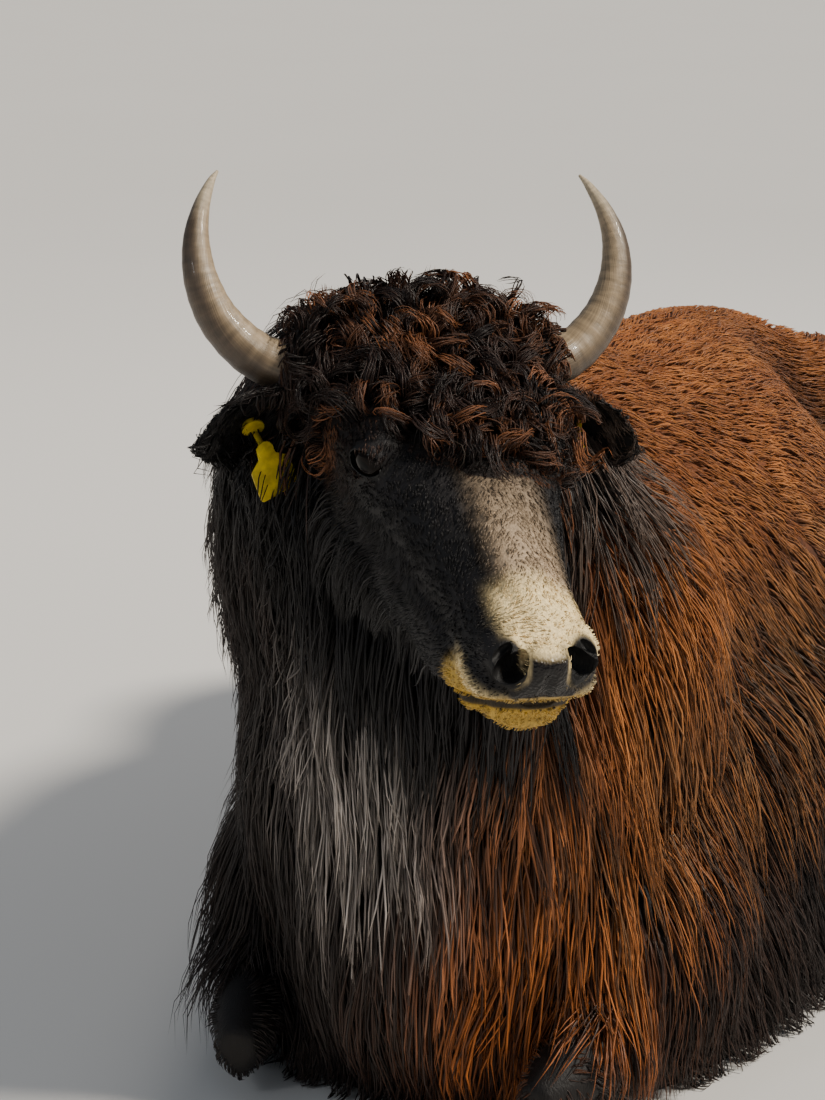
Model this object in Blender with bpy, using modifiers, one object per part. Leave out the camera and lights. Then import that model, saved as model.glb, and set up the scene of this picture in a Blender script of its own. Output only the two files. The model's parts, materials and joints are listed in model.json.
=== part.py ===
"""A life-size yak cow at rest: it lies upright on folded legs, its head raised and turned to its left.

Metres, +Z up. The body faces -Y and its left side is +X. The origin lies on the floor under the belly.
"""

import math
import random

import bmesh
import bpy
import numpy as np
from mathutils import Matrix, Vector
from mathutils.bvhtree import BVHTree

# Gap that neighbouring pieces keep, so that two meshes never share space, and the smaller one of locks
GAP = 0.00035
MOST_SHELL = 3.0
DOWN = Vector((0, 0, -1))
HANG = 0.12

# Pose of the head
POLL = Vector((0.02, -0.56, 0.865))
HEAD_YAW = math.radians(38.5)
HEAD_PITCH = math.radians(27)
HEAD_ROLL = math.radians(-4)

# Torso from rump to brisket: y, middle z, half width, rise, drop, narrowing of the top
TORSO = [
    (0.850, 0.34, 0.050, 0.07, 0.10, 0.00),
    (0.815, 0.34, 0.140, 0.17, 0.20, 0.05),
    (0.720, 0.33, 0.220, 0.265, 0.30, 0.14),
    (0.560, 0.32, 0.275, 0.345, 0.34, 0.20),
    (0.360, 0.32, 0.330, 0.375, 0.34, 0.18),
    (0.130, 0.32, 0.350, 0.390, 0.34, 0.18),
    (-0.080, 0.33, 0.320, 0.400, 0.35, 0.22),
    (-0.240, 0.35, 0.275, 0.405, 0.36, 0.28),
    (-0.380, 0.34, 0.235, 0.340, 0.33, 0.20),
    (-0.510, 0.32, 0.190, 0.230, 0.26, 0.05),
    (-0.580, 0.31, 0.080, 0.090, 0.12, 0.00),
]

# Neck from the chest to the back of the head: x, y, z, half width, rise to the nape, drop to the throat
NECK = [
    (0.000, -0.180, 0.38, 0.210, 0.22, 0.24),
    (-0.008, -0.320, 0.51, 0.225, 0.21, 0.24),
    (-0.028, -0.430, 0.64, 0.204, 0.165, 0.195),
    (-0.060, -0.500, 0.75, 0.150, 0.125, 0.150),
    (-0.055, -0.530, 0.83, 0.095, 0.070, 0.100),
]

# Head from poll to muzzle: distance along the face, rise of the middle, half width, rise, drop, narrowing
# of the jaw
HEAD = [
    (-0.065, -0.095, 0.060, 0.055, 0.060, 0.00),
    (-0.040, -0.095, 0.098, 0.080, 0.095, 0.05),
    (0.015, -0.095, 0.110, 0.090, 0.115, 0.16),
    (0.085, -0.092, 0.110, 0.090, 0.128, 0.26),
    (0.155, -0.088, 0.100, 0.084, 0.120, 0.30),
    (0.225, -0.082, 0.082, 0.074, 0.100, 0.24),
    (0.295, -0.078, 0.068, 0.064, 0.082, 0.12),
    (0.345, -0.074, 0.062, 0.061, 0.068, 0.02),
    (0.390, -0.070, 0.062, 0.057, 0.058, -0.04),
    (0.428, -0.066, 0.055, 0.046, 0.044, -0.04),
    (0.450, -0.064, 0.030, 0.024, 0.022, 0.00),
]

# Horn from its root to its tip in the head's directions: left, out, along, half width, half depth
HORN_LINE = [
    (0.060, -0.034, 0.004, 0.025, 0.026),
    (0.110, -0.050, 0.010, 0.026, 0.027),
    (0.160, -0.048, -0.004, 0.024, 0.024),
    (0.198, -0.026, -0.030, 0.021, 0.021),
    (0.217, 0.002, -0.058, 0.0175, 0.0175),
    (0.221, 0.028, -0.088, 0.0135, 0.0135),
    (0.214, 0.048, -0.116, 0.0090, 0.0090),
    (0.201, 0.062, -0.142, 0.0045, 0.0045),
    (0.192, 0.068, -0.154, 0.0014, 0.0014),
]

# Long hair: how far it stands out, and the skirt's rings from the floor up: height, half width, half length
HAIR_LENGTH = 0.055
FORELOCK_DEPTH = 0.036
SKIRT_MIDDLE = 0.130
SKIRT = [
    (-0.020, 0.355, 0.690),
    (0.100, 0.345, 0.680),
    (0.220, 0.325, 0.640),
    (0.340, 0.270, 0.560),
]

# Eyeball, the lids over it and the slit between them: half length and half height
EYE_PLACE = (0.085, -0.034, 0.158)
EYE_RADIUS = 0.021
LID_RADIUS = 0.026
EYE_SLIT = (0.0185, 0.0130)
EYE_FORWARD = math.radians(32)

# Mouth line from its middle to a corner, and the nostrils, in the head's directions: left, out, along
MOUTH_LINE = [
    (0.000, -0.078, 0.452),
    (0.030, -0.082, 0.444),
    (0.052, -0.102, 0.416),
    (0.061, -0.122, 0.385),
    (0.061, -0.134, 0.357),
]
MOUTH_GROOVE = (0.0055, 0.0070)
NOSTRIL = (0.035, -0.038, 0.441)
NOSTRIL_SIZE = (0.0120, 0.0150, 0.027)

# Ear from its root to its tip in the head's directions: left, out, along, half width, thickness
EAR_LINE = [
    (0.085, -0.088, 0.024, 0.020, 0.012),
    (0.112, -0.092, 0.028, 0.030, 0.011),
    (0.142, -0.098, 0.035, 0.042, 0.010),
    (0.168, -0.102, 0.041, 0.046, 0.009),
    (0.194, -0.107, 0.045, 0.040, 0.008),
    (0.218, -0.112, 0.049, 0.024, 0.007),
    (0.232, -0.115, 0.050, 0.007, 0.005),
]

# How far forward an ear is carried towards its tip, by side: the left one is kept off the turned neck
EAR_FORWARD = {1: 0.16, -1: 0.0}

# Tail from its root down the rump and along the floor: x, y, z, half width, half depth
TAIL = [
    (0.000, 0.780, 0.545, 0.030, 0.026),
    (0.000, 0.855, 0.510, 0.030, 0.026),
    (0.008, 0.893, 0.410, 0.030, 0.026),
    (0.025, 0.905, 0.290, 0.034, 0.028),
    (0.060, 0.912, 0.170, 0.038, 0.032),
    (0.120, 0.905, 0.085, 0.042, 0.036),
    (0.200, 0.870, 0.048, 0.044, 0.036),
    (0.275, 0.815, 0.040, 0.036, 0.030),
    (0.330, 0.765, 0.034, 0.016, 0.018),
    (0.350, 0.745, 0.030, 0.005, 0.007),
]
TAIL_LOCKS = 10

# Legs, left side: x, y, z, half width, half depth
FOREARM = [
    (0.205, -0.250, 0.190, 0.055, 0.075),
    (0.215, -0.380, 0.140, 0.048, 0.058),
    (0.200, -0.500, 0.100, 0.042, 0.046),
    (0.180, -0.590, 0.078, 0.040, 0.044),
    (0.168, -0.635, 0.070, 0.024, 0.030),
]
FORE_CANNON = [
    (0.172, -0.620, 0.064, 0.026, 0.034),
    (0.195, -0.540, 0.048, 0.028, 0.034),
    (0.232, -0.420, 0.038, 0.024, 0.028),
    (0.262, -0.320, 0.038, 0.026, 0.030),
    (0.275, -0.270, 0.036, 0.024, 0.026),
    (0.281, -0.245, 0.034, 0.020, 0.024),
]
HIND_CANNON = [
    (0.230, 0.740, 0.120, 0.040, 0.060),
    (0.275, 0.735, 0.070, 0.034, 0.048),
    (0.320, 0.660, 0.050, 0.030, 0.038),
    (0.370, 0.540, 0.042, 0.026, 0.030),
    (0.405, 0.450, 0.042, 0.029, 0.032),
    (0.420, 0.405, 0.036, 0.025, 0.027),
    (0.427, 0.380, 0.034, 0.021, 0.024),
]
SHANK = [
    (0.300, 0.300, 0.210, 0.060, 0.090),
    (0.300, 0.460, 0.170, 0.055, 0.080),
    (0.280, 0.620, 0.120, 0.042, 0.060),
    (0.265, 0.730, 0.090, 0.034, 0.050),
]

# Hoof of a hind leg: distance past the pastern, half width, rise, drop, and how far its two toes stand apart
HOOF_STATIONS = [
    (-0.012, 0.017, 0.026, 0.022, 0.013),
    (0.010, 0.019, 0.027, 0.025, 0.014),
    (0.036, 0.020, 0.020, 0.027, 0.016),
    (0.060, 0.017, 0.008, 0.027, 0.017),
    (0.076, 0.009, -0.006, 0.026, 0.015),
]
HOOF_HEIGHT = 0.030
HOOF_NARROWING = 0.18

# Cut of the neck from the torso: a point on it and the way it faces
NECK_CUT = (Vector((0, -0.285, 0.720)), Vector((0, -0.75, 0.66)))

# Fineness of the smooth cores: size of their cells, and triangles
BODY_VOXEL = 0.014
HEAD_VOXEL = 0.005
LEG_VOXEL = 0.012
BODY_TRIANGLES = 1750
HEAD_TRIANGLES = 2250
LEG_TRIANGLES = 280

# Long hair: share of its depth that the core fills, and how a lock tapers from root to tip
CORE_REACH = 0.45
LOCK_STATIONS = (0.0, 0.36, 0.76)
LOCK_WIDTHS = (0.60, 1.00, 0.68)
LOCK_THICKNESSES = (1.00, 1.00, 0.75)
LOCK_STEPS = 12
LOCK_TRIES = 8
LOCK_THICKNESS = 0.011
ROOT_DEPTH = 0.014
FLOOR_CLEARANCE = 0.004
LAYER = 0.013
HUG = 0.35

# Skirt rows from the floor up: count, height of the roots, its variation, length, width,
# stand off at the tip
SKIRT_ROWS = [
    (30, 0.205, 0.035, 0.215, 0.150, 0.006),
    (30, 0.385, 0.045, 0.235, 0.150, 0.030),
]

# Neck rows from the chest up: count, share of the way up the neck, spread to each side, length, width,
# stand off at the tip
NECK_ROWS = [
    (9, 0.32, 1.9, 0.250, 0.120, 0.008),
    (8, 0.52, 1.9, 0.230, 0.120, 0.022),
    (7, 0.72, 1.8, 0.210, 0.105, 0.026),
]

# Beard: places along the jaw, spread to each side, length, width
BEARD_ROWS = [
    (0.040, 0.070, 0.120, 0.050),
    (0.120, 0.055, 0.110, 0.045),
    (0.200, 0.040, 0.090, 0.038),
]

# Forelock: rows from the poll down the forehead: distance along, half spread, clumps
FORELOCK_ROWS = [
    (-0.050, 0.085, 5),
    (-0.014, 0.106, 6),
    (0.023, 0.110, 6),
    (0.060, 0.094, 6),
    (0.096, 0.066, 4),
    (0.126, 0.032, 2),
]
CLUMP = (0.026, 0.017, 0.031)

# Colour and roughness by the first word of a part's name, and of every other part
FINISHES = {
    "horn": ((0.47, 0.40, 0.30), 0.45),
    "eye": ((0.015, 0.012, 0.010), 0.12),
    "hoof": ((0.060, 0.052, 0.046), 0.50),
    "tag": ((0.80, 0.66, 0.05), 0.40),
}
COAT = ((0.075, 0.040, 0.024), 0.75)
SHARP_ANGLE = math.radians(42)

TAG_THICKNESS = 0.002
STUD_SHORT = 0.005
TAG_OUTLINE = [
    (-0.18, -0.10),
    (0.18, -0.10),
    (0.22, 0.16),
    (0.50, 0.34),
    (0.50, 1.00),
    (-0.50, 1.00),
    (-0.50, 0.34),
    (-0.22, 0.16),
]
STUD_RADIUS = 0.003
BUTTON_RADIUS = 0.012
BUTTON_HEIGHT = 0.006
BUTTON_SINK = 0.0015
EAR_CUP = 0.62
SIDES = {1: "left", -1: "right"}

# Tags by side: ring of the ear, shift from its middle to the head and down, stand off, swing about the stud,
# width, height
TAGS = {
    1: (3, 0.000, 0.000, 0.005, math.radians(-20), 0.020, 0.022),
    -1: (3, 0.012, 0.028, 0.007, math.radians(20), 0.044, 0.050),
}


def head_frame():
    """Columns: the animal's left, out of the forehead, along the face to the muzzle. Origin at the poll."""
    level = Vector((math.sin(HEAD_YAW), -math.cos(HEAD_YAW), 0))
    along = level * math.cos(HEAD_PITCH) - Vector((0, 0, 1)) * math.sin(HEAD_PITCH)
    left = Vector((0, 0, 1)).cross(level)
    turn = Matrix.Rotation(HEAD_ROLL, 3, along)
    left = turn @ left
    out = along.cross(left)
    frame = Matrix((left, out, along)).transposed().to_4x4()
    frame.translation = POLL
    return frame


IN_HEAD = head_frame()

# The simple closed forms that each part was fused from, by the part's name
FORMS = {}


def on_head(left, out, along):
    """A point given in the head's own directions, in the frame of the part."""
    return IN_HEAD @ Vector((left, out, along))


def spline(rows, per_span):
    """The rows carried smoothly, with per_span steps from each row to the next."""
    rows = np.array(rows, float)
    ends = np.vstack([2 * rows[0] - rows[1], rows, 2 * rows[-1] - rows[-2]])
    found = []
    for a, b, c, d in zip(ends, ends[1:], ends[2:], ends[3:]):
        for t in np.arange(per_span) / per_span:
            square = 2 * a - 5 * b + 4 * c - d
            cube = 3 * b - a - 3 * c + d
            found.append(0.5 * (2 * b + (c - a) * t + square * t**2 + cube * t**3))
    return np.array([*found, rows[-1]])


def unit(vectors):
    return vectors / np.linalg.norm(vectors, axis=-1, keepdims=True)


def object_of(name, bm, collection=None):
    """A new object that holds the bmesh, facing outwards."""
    bmesh.ops.recalc_face_normals(bm, faces=bm.faces)
    mesh = bpy.data.meshes.new(name)
    bm.to_mesh(mesh)
    bm.free()
    obj = bpy.data.objects.new(name, mesh)
    (collection or bpy.context.scene.collection).objects.link(obj)
    return obj


def loft(rings):
    """A closed bmesh through rings of points, rounded off with a point at each end."""
    bm = bmesh.new()
    made = [[bm.verts.new(point) for point in ring] for ring in rings]
    for one, two in zip(made, made[1:]):
        for i in range(len(one)):
            j = (i + 1) % len(one)
            bm.faces.new((one[i], one[j], two[j], two[i]))
    for ring in (made[0], made[-1]):
        middle = bm.verts.new(sum((v.co for v in ring), Vector()) / len(ring))
        for i in range(len(ring)):
            bm.faces.new((ring[i], ring[(i + 1) % len(ring)], middle))
    bmesh.ops.recalc_face_normals(bm, faces=bm.faces)
    return bm


def sections(centres, across_from, across_to, sizes, sides, power=2.0):
    """Rings of points round a line of centres. Sizes: half width, rise, drop, narrowing of the top."""
    along = unit(np.gradient(centres, axis=0))
    share = np.linspace(0, 1, len(centres))[:, None]
    across = np.array(across_from) * (1 - share) + np.array(across_to) * share
    across = unit(across - along * (across * along).sum(1, keepdims=True))
    up = np.cross(along, across)
    angles = np.arange(sides) * 2 * math.pi / sides
    cos, sin = np.cos(angles), np.sin(angles)
    flat_cos = np.sign(cos) * abs(cos) ** (2 / power)
    flat_sin = np.sign(sin) * abs(sin) ** (2 / power)
    rings = []
    for centre, side, rise, (wide, high, low, narrow) in zip(centres, across, up, sizes):
        x = wide * flat_cos * (1 - narrow * flat_sin)
        z = np.where(flat_sin > 0, high, low) * flat_sin
        rings.append(centre + x[:, None] * side + z[:, None] * rise)
    return rings


def ball(centre, radii, turn=None, rings=12, segments=None):
    """A closed ellipsoid, its radii along the columns of turn."""
    bm = bmesh.new()
    size = Matrix.Diagonal((*radii, 1))
    place = Matrix.Translation(centre) @ (turn.to_4x4() if turn else Matrix.Identity(4)) @ size
    bmesh.ops.create_uvsphere(bm, u_segments=segments or 2 * rings, v_segments=rings, radius=1, matrix=place)
    return bm


def limb(rows, sides=12, per_span=4, across=(1, 0, 0)):
    """A closed tube through rows of x, y, z, half width and half depth."""
    line = spline(rows, per_span)
    sizes = np.column_stack([line[:, 3], line[:, 4], line[:, 4], 0 * line[:, 3]])
    return loft(sections(line[:, :3], across, across, sizes, sides))


def mirrored(bm):
    twin = bm.copy()
    bmesh.ops.scale(twin, vec=(-1, 1, 1), verts=twin.verts)
    bmesh.ops.reverse_faces(twin, faces=twin.faces)
    return twin


def gathered(parts):
    """Several bmeshes as one, overlapping."""
    bm = bmesh.new()
    for part in parts:
        mesh = bpy.data.meshes.new("gathered")
        part.to_mesh(mesh)
        part.free()
        bm.from_mesh(mesh)
        bpy.data.meshes.remove(mesh)
    return bm


def applied(obj):
    """The object with its modifiers applied."""
    graph = bpy.context.evaluated_depsgraph_get()
    mesh = bpy.data.meshes.new_from_object(obj.evaluated_get(graph))
    old = obj.data
    obj.modifiers.clear()
    obj.data = mesh
    bpy.data.meshes.remove(old)
    return obj


def fused(name, parts, voxel, rounds):
    """One smooth skin over overlapping closed bmeshes."""
    obj = object_of(name, gathered(parts))
    remesh = obj.modifiers.new("skin", "REMESH")
    remesh.mode = "VOXEL"
    remesh.voxel_size = voxel
    smooth = obj.modifiers.new("smooth", "SMOOTH")
    smooth.factor = 0.5
    smooth.iterations = rounds
    return applied(obj)


def thinned(obj, triangles):
    """The object with about that many triangles."""
    count = sum(len(face.vertices) - 2 for face in obj.data.polygons)
    decimate = obj.modifiers.new("thin", "DECIMATE")
    decimate.ratio = min(1.0, triangles / count)
    return applied(obj)


def dented(obj, dents):
    """The object pushed along each dent's own vector, most at its centre."""
    points = np.array([v.co for v in obj.data.vertices])
    moved = points.copy()
    for centre, radius, push in dents:
        share = np.exp(-(((points - np.array(centre)) / radius) ** 2).sum(1))
        moved += share[:, None] * np.array(push)
    obj.data.vertices.foreach_set("co", moved.astype(np.float32).ravel())
    obj.data.update()
    return obj


def cut(obj, point, normal):
    """What of the object lies against the normal, closed with a flat face."""
    bm = bmesh.new()
    bm.from_mesh(obj.data)
    geometry = [*bm.verts, *bm.edges, *bm.faces]
    bmesh.ops.bisect_plane(bm, geom=geometry, dist=1e-6, plane_co=point, plane_no=normal, clear_outer=True)
    bmesh.ops.holes_fill(bm, edges=[edge for edge in bm.edges if edge.is_boundary])
    bmesh.ops.triangulate(bm, faces=bm.faces)
    bm.to_mesh(obj.data)
    bm.free()
    return obj


def copied(obj, name):
    twin = bpy.data.objects.new(name, obj.data.copy())
    bpy.context.scene.collection.objects.link(twin)
    return twin


def torso_forms():
    rows = spline(TORSO, 4)
    centres = np.column_stack([0 * rows[:, 0], rows[:, 0], rows[:, 1]])
    barrel = loft(sections(centres, (1, 0, 0), (1, 0, 0), rows[:, 2:], 32, 2.25))
    sides = [
        ball((0.180, -0.290, 0.38), (0.085, 0.160, 0.28), Matrix.Rotation(0.25, 3, "X")),
        ball((0.200, -0.330, 0.17), (0.095, 0.200, 0.15)),
        ball((0.215, 0.490, 0.30), (0.140, 0.290, 0.28)),
        ball((0.255, 0.360, 0.17), (0.120, 0.210, 0.17)),
        ball((0.130, 0.560, 0.548), (0.090, 0.150, 0.085)),
        ball((0.070, 0.765, 0.450), (0.065, 0.100, 0.085)),
    ]
    crest = ball((0, -0.160, 0.655), (0.080, 0.240, 0.120), Matrix.Rotation(-0.10, 3, "X"))
    brisket = ball((0, -0.470, 0.220), (0.160, 0.150, 0.210))
    return [barrel, crest, brisket, *sides, *(mirrored(form) for form in sides)]


def neck_forms():
    rows = spline(NECK, 5)
    sizes = np.column_stack([rows[:, 3:], 0.1 + 0 * rows[:, 0]])
    nape = ball((-0.058, -0.490, 0.805), (0.120, 0.085, 0.085), Matrix.Rotation(HEAD_YAW * 0.5, 3, "Z"))
    return [loft(sections(rows[:, :3], (1, 0, 0), IN_HEAD.col[0][:3], sizes, 28)), nape]


def hair_forms(reach):
    """Long hair as plain forms: throat, chest, skirt. The reach is the share of the way to the tips."""
    lift = HAIR_LENGTH * reach
    throat = ball((0.030, -0.585, 0.545), (0.130 + lift, 0.050 + lift, 0.200))
    chest = ball((0, -0.500, 0.330), (0.190 + lift, 0.100 + lift, 0.260 + lift))
    rings = []
    for height, wide, deep in SKIRT:
        turns = np.arange(40) * math.pi / 20
        x = (wide + lift) * np.sign(np.cos(turns)) * abs(np.cos(turns)) ** 0.8
        y = SKIRT_MIDDLE + (deep + lift) * np.sign(np.sin(turns)) * abs(np.sin(turns)) ** 0.8
        rings.append(np.column_stack([x, y, height + 0 * x]))
    return [throat, chest, loft(rings)]


def forelock_form(reach):
    lift = FORELOCK_DEPTH * reach
    turn = IN_HEAD.to_3x3()
    return [
        ball(on_head(0, -0.030, 0.020), (0.118 + lift * 0.6, 0.026 + lift, 0.062 + lift), turn),
        ball(on_head(0, -0.024, 0.080), (0.072 + lift * 0.4, 0.018 + lift * 0.8, 0.060 + lift * 0.5), turn),
    ]


def head_forms():
    """Skull, brows, cheeks, muzzle, lips and lids as overlapping forms."""
    rows = spline(HEAD, 5)
    centres = np.array([on_head(0, out, along) for along, out in rows[:, :2]])
    sizes = rows[:, 2:].copy()
    sizes[:, 3] *= -1
    left = IN_HEAD.col[0][:3]
    turn = IN_HEAD.to_3x3()
    forms = [
        loft(sections(centres, left, left, sizes, 32, 2.3)),
        ball(on_head(0, -0.012, 0.005), (0.112, 0.026, 0.040), turn),
        ball(on_head(0, -0.020, 0.290), (0.032, 0.018, 0.120), turn),
        ball(on_head(0, -0.050, 0.433), (0.035, 0.032, 0.021), turn),
        ball(on_head(0, -0.110, 0.405), (0.044, 0.022, 0.040), turn),
    ]
    for side in (-1, 1):
        forms += [
            ball(on_head(side * EYE_PLACE[0], *EYE_PLACE[1:]), (LID_RADIUS,) * 3, turn),
            ball(on_head(side * 0.082, -0.020, 0.140), (0.020, 0.015, 0.040), turn),
            ball(on_head(side * 0.068, -0.124, 0.115), (0.038, 0.086, 0.095), turn),
            ball(on_head(side * 0.060, -0.120, 0.210), (0.026, 0.050, 0.090), turn),
            ball(on_head(side * 0.033, -0.041, 0.414), (0.025, 0.023, 0.033), turn),
            ball(on_head(side * 0.035, -0.072, 0.410), (0.029, 0.024, 0.038), turn),
            ball(on_head(side * 0.040, -0.100, 0.372), (0.027, 0.034, 0.052), turn),
            ball(on_head(side * 0.046, -0.112, 0.305), (0.028, 0.040, 0.080), turn),
            ball(on_head(side * 0.106, -0.042, 0.006), (0.045, 0.034, 0.040), turn),
        ]
    return forms


def nostril(side):
    """A cutter for one nostril, which runs in and back from the end of the muzzle."""
    turn = IN_HEAD.to_3x3() @ Matrix.Rotation(side * math.radians(38), 3, "Y")
    turn = turn @ Matrix.Rotation(side * math.radians(30), 3, "Z")
    return object_of("nostril", ball(on_head(side * NOSTRIL[0], *NOSTRIL[1:]), NOSTRIL_SIZE, turn, 6))


def grooved(obj, line, width, depth):
    """The object pressed in along a line near its surface."""
    points = np.array([v.co for v in obj.data.vertices])
    inward = -np.array([v.normal for v in obj.data.vertices])
    nearest = np.full(len(points), np.inf)
    for one, two in zip(line, line[1:]):
        one, run = np.array(one), np.array(two) - np.array(one)
        share = ((points - one) @ run / (run @ run)).clip(0, 1)
        nearest = np.minimum(nearest, np.linalg.norm(points - one - share[:, None] * run, axis=1))
    moved = points + inward * (depth * np.exp(-((nearest / width) ** 2)))[:, None]
    obj.data.vertices.foreach_set("co", moved.astype(np.float32).ravel())
    obj.data.update()
    return obj


def body_dents():
    """Hollows before each hip, behind each shoulder and along the throat."""
    found = []
    for side in (-1, 1):
        found.append(((side * 0.20, 0.390, 0.60), 0.105, (-side * 0.030, 0, -0.030)))
        found.append(((side * 0.31, -0.100, 0.46), 0.11, (-side * 0.016, 0, 0)))
        found.append(((side * 0.16, 0.720, 0.54), 0.09, (-side * 0.015, 0, -0.010)))
    return found


def inflated(form, amount):
    """A copy of a simple closed form with each face moved out by the amount."""
    bm = form.copy()
    bm.normal_update()
    moves = [vertex.normal * (amount * min(vertex.calc_shell_factor(), MOST_SHELL)) for vertex in bm.verts]
    for vertex, move in zip(bm.verts, moves):
        vertex.co += move
    return bm


def bmesh_of(obj):
    bm = bmesh.new()
    bm.from_mesh(obj.data)
    return bm


def combined(obj, other, operation, solver="MANIFOLD"):
    boolean = obj.modifiers.new(operation, "BOOLEAN")
    boolean.operation = operation
    boolean.solver = solver
    boolean.object = other
    applied(obj)
    return obj


SPLITS = [("BEAUTY", "BEAUTY"), ("SHORT_EDGE", "EAR_CLIP"), ("FIXED", "EAR_CLIP"), ("LONG_EDGE", "BEAUTY")]


def triangulated(bm):
    """The bmesh in triangles, split so that no new edge falls on one that is there already."""
    for quads, rest in SPLITS:
        trial = bm.copy()
        bmesh.ops.triangulate(trial, faces=trial.faces, quad_method=quads, ngon_method=rest)
        if all(len(edge.link_faces) == 2 for edge in trial.edges):
            break
    bm.free()
    return trial


def largest(obj):
    """The object with only its largest closed surface."""
    if not obj.data.polygons:
        return obj
    bm = bmesh.new()
    bm.from_mesh(obj.data)
    seen, shells = set(), []
    for start in bm.verts:
        if start in seen:
            continue
        shell, waiting = [], [start]
        seen.add(start)
        while waiting:
            vertex = waiting.pop()
            shell.append(vertex)
            for edge in vertex.link_edges:
                other = edge.other_vert(vertex)
                if other not in seen:
                    seen.add(other)
                    waiting.append(other)
        shells.append(shell)
    shells.sort(key=len)
    bmesh.ops.delete(bm, geom=[v for shell in shells[:-1] for v in shell], context="VERTS")
    bm = triangulated(bm)
    bm.to_mesh(obj.data)
    bm.free()
    return obj


def joined(obj, operation, pieces):
    """The object with all the closed bmeshes added to it or taken from it in one Boolean."""
    collection = bpy.data.collections.new("pieces")
    bpy.context.scene.collection.children.link(collection)
    for piece in pieces:
        object_of("piece", piece, collection)
    boolean = obj.modifiers.new(operation, "BOOLEAN")
    boolean.operation = operation
    boolean.solver = "MANIFOLD"
    boolean.operand_type = "COLLECTION"
    boolean.collection = collection
    applied(obj)
    for piece in list(collection.objects):
        bpy.data.objects.remove(piece)
    bpy.data.collections.remove(collection)
    return obj


def cleared(obj, *others):
    """The object less each other one, with a gap between them."""
    forms = [form for other in others for form in FORMS.get(other.name) or [bmesh_of(other)]]
    return largest(joined(obj, "DIFFERENCE", [inflated(form, gap) for form in forms for gap in (GAP, 0)]))


def united(obj, pieces):
    """The object with all the closed bmeshes fused to it in one union."""
    FORMS[obj.name] = [bmesh_of(obj), *(piece.copy() for piece in pieces)]
    return largest(joined(obj, "UNION", pieces))


def less(pieces, other):
    """What is left of each piece beside the other object."""
    found = []
    for piece in pieces:
        obj = object_of("piece", piece)
        cleared(obj, other)
        if obj.data.polygons:
            found.append(bmesh_of(obj))
        bpy.data.objects.remove(obj)
    return found


def surface_of(*objs):
    """A tree of all the faces of the objects, for finding the nearest one."""
    bm = bmesh.new()
    for obj in objs:
        bm.from_mesh(obj.data)
    bmesh.ops.triangulate(bm, faces=bm.faces)
    tree = BVHTree.FromBMesh(bm)
    bm.free()
    return tree


def beside(point, tree, stand, hug):
    """The point at that stand off from the surface, or part of the way to it if it hangs clear."""
    near, normal, _, _ = tree.find_nearest(point)
    gap = (point - near).dot(normal)
    point = point + normal * ((stand - gap) * (1 if gap < stand else hug))
    point.z = max(point.z, 0.5 * LOCK_THICKNESS + FLOOR_CLEARANCE)
    return point, normal


def crosses_itself(bm):
    """Whether two faces that share no corner meet."""
    bm.faces.ensure_lookup_table()
    tree = BVHTree.FromBMesh(bm)
    corners = [set(face.verts) for face in bm.faces]
    return any(not corners[a] & corners[b] for a, b in tree.overlap(tree))


def lock(root, normal, way, length, width, stands, tree, bend=0.0, hug=HUG):
    """A list of one flat, tapered lock, made shorter and straighter until it doesn't cross itself."""
    for _ in range(LOCK_TRIES):
        bm = tapered(*lock_rings(root, normal, way, length, width, stands, tree, bend, hug))
        if not crosses_itself(bm) and bm.calc_volume() > 0:
            return [bm]
        bm.free()
        length *= 0.88
        width *= 0.94
        bend *= 0.5
        stands = (stands[0], stands[1] * 0.8)
    return []


def lock_rings(root, normal, way, length, width, stands, tree, bend, hug):
    """The rings and tip of a lock that grows from the root, bends along the surface and hangs."""
    step = length / LOCK_STEPS
    point = root.copy()
    points, normals = [point.copy()], [normal.copy()]
    heading = (way - normal * way.dot(normal)).normalized()
    aside = heading.cross(normal)
    for i in range(LOCK_STEPS):
        share = (i + 1) / LOCK_STEPS
        heading = (heading + DOWN * HANG + aside * (bend * math.cos(share * math.pi))).normalized()
        stand = min(1.0, share * 3.5) * (stands[0] * (1 - share) + stands[1] * share)
        moved, near = beside(point + heading * step, tree, stand + 0.5 * LOCK_THICKNESS, hug)
        heading = (moved - point).normalized()
        point = moved
        points.append(point.copy())
        normals.append((normals[-1] * 2 + near).normalized())
    rings = []
    for share, wide, deep in zip(LOCK_STATIONS, LOCK_WIDTHS, LOCK_THICKNESSES):
        i = round(share * LOCK_STEPS)
        along = (points[min(i + 1, LOCK_STEPS)] - points[max(i - 1, 0)]).normalized()
        out = (normals[i] - along * normals[i].dot(along)).normalized()
        across = along.cross(out)
        middle = points[i] if i else points[0] - normals[0] * ROOT_DEPTH
        ring = [middle + across * (0.5 * width * wide * u) + out * (0.5 * LOCK_THICKNESS * deep * v)
                for u, v in ((1, -1), (0, 1), (-1, -1))]
        low = min(corner.z for corner in ring)
        shift = Vector((0, 0, max(0.0, FLOOR_CLEARANCE - low)))
        rings.append([corner + shift for corner in ring])
    return rings, points[-1]


def tapered(rings, tip):
    """A closed bmesh through the rings, which ends in a point."""
    bm = bmesh.new()
    made = [[bm.verts.new(point) for point in ring] for ring in rings]
    end = bm.verts.new(tip)
    for one, two in zip(made, made[1:]):
        for i in range(len(one)):
            j = (i + 1) % len(one)
            bm.faces.new((one[i], one[j], two[j]))
            bm.faces.new((one[i], two[j], two[i]))
    for i in range(len(made[-1])):
        bm.faces.new((made[-1][i], made[-1][(i + 1) % len(made[-1])], end))
    bm.faces.new(made[0])
    bmesh.ops.recalc_face_normals(bm, faces=bm.faces)
    return bm


def varied(draw, value, share=0.15):
    return value * draw.uniform(1 - share, 1 + share)


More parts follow.
